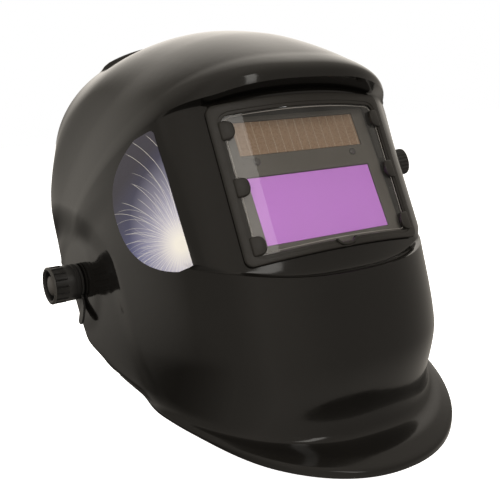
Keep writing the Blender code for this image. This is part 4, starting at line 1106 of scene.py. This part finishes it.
def lens_tab(side, height, back):
    """A D-shaped pad that holds the lens, at one side of the frame."""
    root, tip = VIEW_X + 2.2, VIEW_X - TAB_REACH + 1.3
    straight = root - 3.0
    outline = []
    for a in np.linspace(-90.0, 90.0, 17):
        bulge = abs(math.cos(math.radians(a))) ** 0.75
        rise = math.copysign(abs(math.sin(math.radians(a))) ** 0.8, a)
        outline.append((straight - (straight - tip) * bulge, TAB_HALF * rise))
    outline += [(root - 0.8, TAB_HALF), (root, TAB_HALF - 0.8)]
    outline += [(root, 0.8 - TAB_HALF), (root - 0.8, -TAB_HALF)]
    middle = (root + tip) / 2.0
    stations = []
    for shrink, depth in ((0.0, back - 0.05), (0.0, -0.5), (0.35, -0.95), (0.95, -1.2)):
        station = []
        for x, u in outline:
            u *= 0.92
            share = 1.0 - shrink / math.hypot(x - middle, u)
            x, u = side * (middle + (x - middle) * share), u * share + height
            station.append((x, frame_depth(x, u) + depth, u))
        stations.append(station)
    return swept(stations)


def notch_arch(back):
    """The raised half ring round the thumb notch."""
    stations = []
    for a in np.linspace(180.0, 360.0, 25):
        c, s = math.cos(math.radians(a)), math.sin(math.radians(a))
        station = []
        for across, depth in rounded_box_outline(0.0, 1.5, -0.9, back, 0.35, 3):
            x, u = (NOTCH_HALF + across) * c, VIEW_BOTTOM + (NOTCH_DEPTH + across) * s
            station.append((x, frame_depth(x, u) + depth, u))
        stations.append(station)
    return swept(stations)


def build_lens_frame(looks):
    """Ring with rounded edges and a stepped inner rim, and the pads that hold the lens."""
    outer, inner = lens_frame_outlines()
    back = LENS_SET_BACK - 0.3
    under = FRAME_THICK - 0.4
    # millimetres in from the outer outline, or out from the inner one; depth behind the front face
    outer_edge = (
        (1.3, under), (1.3, 1.7), (0.25, 1.55), (0.0, 1.3), (0.0, 0.9), (0.15, 0.4), (0.45, 0.1), (0.95, 0.0),
    )
    inner_edge = (
        (2.3, 0.0), (2.05, 0.08), (1.95, 0.35), (1.8, 0.55), (0.5, 0.6), (0.15, 0.7), (0.0, 0.95),
        (0.0, back),
    )
    profile = [(True, *step) for step in outer_edge] + [(False, *step) for step in inner_edge]
    profile += [(True, 3.0, back), (True, 2.6, under)]
    bm = bmesh.new()
    loops = []
    for from_outer, inset, depth in profile:
        ring = []
        for (ox, ou), (ix, iu) in zip(outer, inner):
            length = math.hypot(ix - ox, iu - ou)
            share = inset / length if from_outer else 1.0 - inset / length
            x, u = ox + (ix - ox) * share, ou + (iu - ou) * share
            ring.append(bm.verts.new((x, frame_depth(x, u) + depth, u)))
        loops.append(ring)
    bridge(bm, loops + loops[:1])
    outward(bm)
    for side in (-1.0, 1.0):
        for height in TAB_HEIGHTS:
            join_bmesh(bm, lens_tab(side, height, back))
    join_bmesh(bm, notch_arch(back))
    new_piece("lens_frame_ring", bm, looks["frame"], "shell", ["lens_frame"], sharp=40.0)


def build_cover_lens(looks):
    margin = 0.6
    xs = np.linspace(-OPENING_X + margin, OPENING_X - margin, 61)
    us = np.linspace(OPENING_BOTTOM + margin, OPENING_TOP - margin, 13)
    bm = bmesh.new()
    grids = []
    for step in (0.0, LENS_THICK):
        points = [[(x, frame_depth(x, u) + LENS_SET_BACK + step, u) for x in xs] for u in us]
        grids.append([[bm.verts.new(point) for point in row] for row in points])
    sheet(bm, *grids)
    new_piece("cover_lens_sheet", outward(bm), looks["lens"], "shell", ["cover_lens"])


def build_lens_edge(looks):
    """The lens's edge, a fine bead just inside the frame with rounder corners than it; its pale colour is a
    painted highlight.
    """
    inset, radius, centre_u = 0.9, 6.5, 15.0
    box = (-VIEW_X + inset, VIEW_X - inset, VIEW_BOTTOM + inset, VIEW_TOP - inset)
    path = rounded_box_outline(*box, radius, 10)
    dense = []
    for (x0, u0), (x1, u1) in zip(path, path[1:] + path[:1]):
        count = max(1, int(math.hypot(x1 - x0, u1 - u0) / 3.0))
        dense += [(x0 + (x1 - x0) * k / count, u0 + (u1 - u0) * k / count) for k in range(count)]
    bm = bmesh.new()
    rings = []
    for across, lift in ((0.0, -0.02), (0.06, 0.2), (0.3, 0.3), (0.54, 0.2), (0.6, -0.02)):
        ring = []
        for x, u in dense:
            share = 1.0 - across / math.hypot(x, u - centre_u)
            x, u = x * share, centre_u + (u - centre_u) * share
            ring.append(bm.verts.new((x, frame_depth(x, u) + LENS_SET_BACK - lift, u)))
        rings.append(ring)
    bridge(bm, rings + rings[:1])
    new_piece("cover_lens_edge", outward(bm), looks["lens_edge"], "shell", [])


# ---------------------------------------------------------------- pivots and knobs

def build_pivots(looks):
    for side, sign in (("left", 1.0), ("right", -1.0)):
        space = placed(HEAD, (sign * KNOB_PLACE_X, 0.0, 0.0), (0.0, math.radians(90.0) * sign, 0.0))
        knob, cap, body = f"tension_knob_{side}", f"knob_cap_{side}", f"tension_{side}"
        barrel = turned(KNOB_PROFILE, 256, (16, 0.8, 0.13))
        new_piece(f"{knob}_fluted", barrel, looks["knob"], body, [knob], space, 38.0)
        rim = turned(KNOB_RIM, 128)
        new_piece(f"{knob}_rim", rim, looks["worn"], body, [], space, 50.0)
        dome = turned(CAP_PROFILE, 96)
        new_piece(f"{cap}_domed", dome, looks["cap"], body, [cap], space, 50.0)
        refine(f"pivot_bolt_{side}", looks["knob"], 0.4)
        refine(f"friction_washer_{side}", looks["fibre"], 0.2)
    refine("pivot_spacer_left", looks["knob"], 0.2)
    build_tilt_lever(looks)


def build_tilt_lever(looks):
    """Flat disc behind the knob with a finger that runs down and bends outward at its tip."""
    finger_from, tip_at = 12.0, 25.0
    finger = [(s, 3.4 + 1.7 * smoothstep((s - 14.0) / 9.0)) for s in np.linspace(10.6, tip_at, 16)]
    outline = arc((0.0, 0.0), 12.2, 28.0, 332.0, 72) + [(s, -w) for s, w in finger]
    outline += arc((tip_at, 0.0), 5.1, -84.0, 84.0, 24) + [(s, w) for s, w in reversed(finger)]
    bm = bmesh.new()
    rings = []
    for inset, height in ((0.35, 0.0), (0.0, 0.35), (0.0, 1.25), (0.35, 1.6)):
        ring = []
        for s, w in outline:
            # how far along from the tip's centre, straight across the finger, or from the disc's centre
            along = s - tip_at if s > tip_at else 0.0 if s > finger_from else s
            reach = math.hypot(along, w) or 1.0
            bend = 4.2 * smoothstep((s - 13.5) / 17.0) ** 1.2
            place = (s - inset * (along / reach), w - inset * w / reach, height + bend)
            ring.append(bm.verts.new(place))
        rings.append(ring)
    bridge(bm, rings)
    for ring in (rings[0], rings[-1]):
        bmesh.ops.triangulate(bm, faces=[bm.faces.new(ring)])
    space = placed(HEAD, (-105.9, 0.0, 0.0), (math.pi, math.radians(90.0), 0.0))
    new_piece(
        "tilt_lever_bent", outward(bm), looks["knob"], "tilt_lever", ["tilt_lever"],
        space, 40.0,
    )


def shade_space(tree):
    """Frame of the shade control's turned pieces, outwards along Z from the shell's surface."""
    hit = tree.ray_cast(Vector((200.0, SHADE_D, SHADE_U)), Vector((-1.0, 0.0, 0.0)))[0]
    return placed(WINDOW, hit, (0.0, math.radians(90.0), -SHADE_TURN))


def build_shade_control(tree, looks):
    space = shade_space(tree)
    knob = turned(SHADE_PROFILE, 192, (24, 0.7, 0.3))
    new_piece(
        "shade_knob_fluted", knob, looks["knob"], "shade_knob", ["shade_knob"], space, 38.0
    )
    # pointer line moulded on the knob's face
    pointer = prism(rounded_box_outline(1.6, 5.0, -0.35, 0.35, 0.3), 14.6, 14.95)
    new_piece("shade_knob_pointer", pointer, looks["cap"], "shade_knob", [], space)
    refine("shade_potentiometer", looks["steel"], 0.3)
    refine("shade_nut", looks["steel"], 0.2)


def build_dials(looks):
    """Small fluted dials on the cartridge's back with a screwdriver slot."""
    for name, x in (("sensitivity_dial", 25.0), ("delay_dial", -25.0)):
        space = placed(WINDOW, (x, 10.3, 43.0), (math.radians(-90.0), 0.0, 0.0))
        shape = turned(DIAL_PROFILE, 160, (20, 0.5, 0.3))
        dial = new_piece(f"{name}_fluted", shape, looks["knob"], name, [name], space, 38.0)
        carve(dial, prism(rounded_box_outline(-4.2, 4.2, -0.6, 0.6, 0.3), 3.6, 5.0), space)


# ---------------------------------------------------------------- cartridge, holder

def build_cartridge(looks):
    # look, and the radius of its edges
    finishes = {
        "cartridge_front": ("cartridge", 0.5),
        "cartridge_back": ("cartridge", 0.5),
        "filter_glass": ("filter", 0.2),
        "solar_panel": ("solar", 0.15),
        "circuit_board": ("board", 0.15),
        "inner_cover_lens": ("lens", 0.2),
        "cartridge_holder": ("inner", 0.5),
        "retaining_frame": ("inner", 0.4),
    }
    for side in ("left", "right"):
        finishes[f"retaining_clip_{side}"] = ("steel", 0.5)
        finishes[f"battery_cell_{side}"] = ("steel", 0.3)
        finishes[f"arc_sensor_{side}"] = ("sensor", 0.15)
    for node, (look, width) in finishes.items():
        refine(node, looks[look], width)


# ---------------------------------------------------------------- headgear

def band_point(angle, offset=0.0):
    """A point of the headband, angle 0 at the forehead and pi at the nape, offset outwards."""
    normal = band_normal(angle)
    x = HEAD_HALF_WIDTH * math.sin(angle)
    b = HEAD_CENTRE_B - HEAD_HALF_LENGTH * math.cos(angle)
    return Vector((x, b, BAND_RISE + BAND_SLOPE * math.cos(angle))) + normal * offset


def band_normal(angle):
    return Vector((HEAD_HALF_LENGTH * math.sin(angle), -HEAD_HALF_WIDTH * math.cos(angle), 0.0)).normalized()


def band_stations(start, end, outline, steps, fade=0.0):
    """Stations of a band; fade narrows its height over the first and last few degrees."""
    stations = []
    for degree in np.linspace(start, end, steps + 1):
        angle = math.radians(degree)
        centre, normal = band_point(angle), band_normal(angle)
        from_end = min(abs(degree - start), abs(degree - end))
        scale = math.sqrt(1.0 - (1.0 - min(from_end / fade, 1.0)) ** 2) * 0.7 + 0.3 if fade else 1.0
        stations.append([tuple(centre + normal * a + Vector((0.0, 0.0, b * scale))) for a, b in outline])
    return stations


def ring_of_pins(places, radius, half_length, steps=14):
    """Cylinders along the given (centre, direction) pairs, in one bmesh."""
    bm = bmesh.new()
    size = {"segments": steps, "radius1": radius, "radius2": radius, "depth": 2.0 * half_length}
    for centre, direction in places:
        turn = direction.to_track_quat("Z", "Y").to_matrix().to_4x4()
        bmesh.ops.create_cone(bm, cap_ends=True, matrix=Matrix.Translation(centre) @ turn, **size)
    return bm


def band_slots(degrees, outline, offset, levels, reach):
    """Cutters through a band with the given outline, one at each angle and level."""
    slots = bmesh.new()
    for degree in degrees:
        angle = math.radians(degree)
        normal = band_normal(angle)
        along = Vector((-normal.y, normal.x, 0.0))
        for level in levels:
            centre = band_point(angle, offset) + Vector((0.0, 0.0, level))
            rings = [
                [tuple(centre + normal * h + along * x + Vector((0.0, 0.0, z))) for x, z in outline]
                for h in (-reach, reach)
            ]
            join_bmesh(slots, swept(rings))
    return slots


def strap_stations(start, end, outline, steps):
    """Stations of the crown strap; angle 0 at the left end, 180 at the right.  The last few degrees taper."""
    lean_b, lean_u = -math.sin(STRAP_LEAN), math.cos(STRAP_LEAN)
    across = Vector((0.0, lean_u, -lean_b))
    stations = []
    for degree in np.linspace(start, end, steps + 1):
        c, s = math.cos(math.radians(degree)), math.sin(math.radians(degree))
        from_end = min(abs(degree - start), abs(degree - end))
        scale = 0.45 + 0.55 * math.sqrt(1.0 - (1.0 - min(from_end / 4.0, 1.0)) ** 2)
        station = []
        for a, b in outline:
            x = math.copysign((STRAP_HALF_WIDTH + a) * abs(c) ** 0.85, c)
            rise = (STRAP_RADIUS + a) * abs(s) ** 0.85
            station.append(tuple(Vector((x, rise * lean_b, rise * lean_u)) + across * b * scale))
        stations.append(station)
    return stations


def strap_holes(angles, offset, radius):
    places = []
    for degree in angles:
        near, far = (strap_stations(degree, degree + 1.0, [(offset + a, 0.0)], 1)[0][0] for a in (-1.0, 1.0))
        places.append(((Vector(near) + Vector(far)) / 2.0, Vector(far) - Vector(near)))
    return ring_of_pins(places, radius, 3.0)


def band_piece(name, stations, looks, node):
    return new_piece(name, swept(stations), looks["band"], "headgear", [node], HEAD, 40.0)


def build_headband(looks):
    """Front band with its rows of slots, and the two toothed tails behind it."""
    outline = rounded_box_outline(-1.0, 1.0, -13.0, 13.0, 0.9)
    front = band_piece("front_band_moulded", band_stations(-104, 104, outline, 104, 4.0), looks, "front_band")
    slot = rounded_box_outline(-4.5, 4.5, -1.6, 1.6, 1.5, 4)
    degrees = (*range(-58, -20, 9), *range(22, 60, 9))
    carve(front, band_slots(degrees, slot, 0.0, (-6.5, 6.5), 4.0), HEAD)
    for side, sign in (("left", 1.0), ("right", -1.0)):
        outline = rounded_box_outline(-3.4, -1.4, -9.0, 9.0, 0.9)
        stations = band_stations(sign * 92, sign * 171, outline, 60, 3.0)
        tail = band_piece(f"rear_band_{side}_toothed", stations, looks, f"rear_band_{side}")
        tooth = rounded_box_outline(-1.3, 1.3, -3.4, 3.4, 0.9, 3)
        holes = band_slots(sign * np.arange(128.0, 166.0, 3.2), tooth, TAIL_OFFSET, (0.0,), 3.0)
        angles = [math.radians(sign * degree) for degree in range(98, 124, 5)]
        pins = [(band_point(angle, TAIL_OFFSET), band_normal(angle)) for angle in angles]
        join_bmesh(holes, ring_of_pins(pins, 2.0, 3.0))
        carve(tail, holes, HEAD)


def build_crown_straps(looks):
    # angles of the ends, faces, angles and offset of the holes
    straps = {
        "left": ((3.0, 100.0), (-0.8, 0.8), range(62, 98, 5), 0.0),
        "right": ((80.0, 177.0), (-2.9, -1.3), range(84, 122, 5), -2.1),
    }
    for side, (ends, faces, degrees, offset) in straps.items():
        stations = strap_stations(*ends, rounded_box_outline(*faces, -10.0, 10.0, 0.7), 70)
        strap = band_piece(f"crown_strap_{side}_holed", stations, looks, f"crown_strap_{side}")
        carve(strap, strap_holes(degrees, offset, 2.2), HEAD)


def build_bands(looks):
    build_headband(looks)
    build_crown_straps(looks)
    widths = {
        "side_arm_left": 1.2, "side_arm_right": 1.2, "crown_pin": 0.3, "nape_plate": 0.9,
        "ratchet_cover": 1.1,
    }
    for node, width in widths.items():
        refine(node, looks["band"], width, 3)
    refine("ratchet_pinion", looks["knob"], 0.2, 3)
    space = placed(HEAD, band_point(math.pi), (math.radians(-90.0), 0.0, 0.0))
    knob = turned(RATCHET_PROFILE, 240, (20, 1.1, 0.3))
    new_piece(
        "ratchet_knob_fluted", knob, looks["knob"], "ratchet", ["ratchet_knob"], space, 38.0
    )


def build_lead(looks):
    """Sleeved lead from the shade control to the cartridge, on the CAD's own path."""
    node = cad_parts["shade_lead"]
    refine("shade_lead", looks["rubber"], 0.05, 1)
    smooth = node.modifiers.new("smooth", "SUBSURF")
    smooth.levels = smooth.render_levels = 1


# ---------------------------------------------------------------- soft pads

def swell(made, steps, cap, pressure=4.0):
    """Inflates a closed pad with a cloth simulation, and keeps each point within cap of where it started."""
    voxel = made.modifiers.new("remesh", "REMESH")
    voxel.mode = "VOXEL"
    voxel.voxel_size = 0.0026
    settle(made)
    made.data.shade_smooth()
    rest = np.zeros(len(made.data.vertices) * 3)
    made.data.vertices.foreach_get("co", rest)
    cloth = made.modifiers.new("cloth", "CLOTH")
    cloth.settings.use_pressure = True
    cloth.settings.uniform_pressure_force = pressure
    cloth.settings.quality = 6
    cloth.settings.mass = 0.2
    cloth.settings.tension_stiffness = 12.0
    cloth.settings.compression_stiffness = 12.0
    cloth.settings.effector_weights.gravity = 0.0
    cloth.point_cache.frame_start = 1
    cloth.point_cache.frame_end = steps
    scene = bpy.context.scene
    for step in range(1, steps + 1):
        scene.frame_set(step)
    settle(made)
    scene.frame_set(1)
    moved = np.zeros_like(rest)
    made.data.vertices.foreach_get("co", moved)
    step = (moved - rest).reshape(-1, 3)
    length = np.linalg.norm(step, axis=1, keepdims=True)
    step *= np.minimum(1.0, cap * MM / np.maximum(length, 1e-9))
    made.data.vertices.foreach_set("co", (rest.reshape(-1, 3) + step).ravel())
    made.data.update()


def stitch(made, start, end, inner, low, high, pitch):
    """Presses a seam in along both long edges of a pad, and stitched channels across it."""
    from_head = Matrix.Scale(MM, 4) @ HEAD
    to_head = from_head.inverted()
    for vertex in made.data.vertices:
        place = to_head @ vertex.co
        angle = math.atan2(place.x / HEAD_HALF_WIDTH, -(place.y - HEAD_CENTRE_B) / HEAD_HALF_LENGTH)
        centre, normal = band_point(angle), band_normal(angle)
        rise = place.z - centre.z
        across = (place - centre).dot(normal)
        degrees = math.degrees(angle) % 360.0 if start > 90.0 else math.degrees(angle)
        edge = min(rise - low, high - rise)
        seam = math.exp(-((edge - 3.6) / 1.1) ** 2)
        place_along = (degrees - start) / pitch
        channel = math.exp(-(((place_along - round(place_along)) * pitch * 1.65) / 1.3) ** 2)
        inward = smoothstep((inner + 4.0 - across) / 3.0)
        if 0.3 < place_along < (end - start) / pitch - 0.3:
            seam = max(seam, channel * 0.9)
        vertex.co = from_head @ (place + normal * 1.5 * seam * inward)
    made.data.update()


def build_pads(looks):
    pads = (
        ("sweatband_foam_pad", "sweatband", -66.0, 66.0, -8.5, -1.3, -17.0, 17.0, 22.0),
        ("nape_foam_pad", "nape_pad", 153.0, 207.0, -14.0, -7.3, -22.0, 22.0, 18.0),
    )
    for name, node, start, end, inner, outer, low, high, pitch in pads:
        outline = rounded_box_outline(inner + 1.3, outer - 0.7, low + 1.0, high - 1.0, 2.0, 3)
        stations = band_stations(start + 0.8, end - 0.8, outline, 60, 3.0)
        pad = new_piece(name, swept(stations), looks["knit"], "headgear", [node], HEAD)
        swell(pad, 20, 1.2)
        subdivide = pad.modifiers.new("subdivide", "SUBSURF")
        subdivide.levels = subdivide.render_levels = 1
        settle(pad)
        pad.data.shade_smooth()
        stitch(pad, start, end, inner, low, high, pitch)


# ---------------------------------------------------------------- assembly

def main():
    build_stage()
    looks = make_looks()
    tree = build_shell(looks)
    build_label(tree, looks)
    build_lens_frame(looks)
    build_cover_lens(looks)
    build_lens_edge(looks)
    build_cartridge(looks)
    build_dials(looks)
    build_pivots(looks)
    build_shade_control(tree, looks)
    build_lead(looks)
    build_bands(looks)
    build_pads(looks)


main()
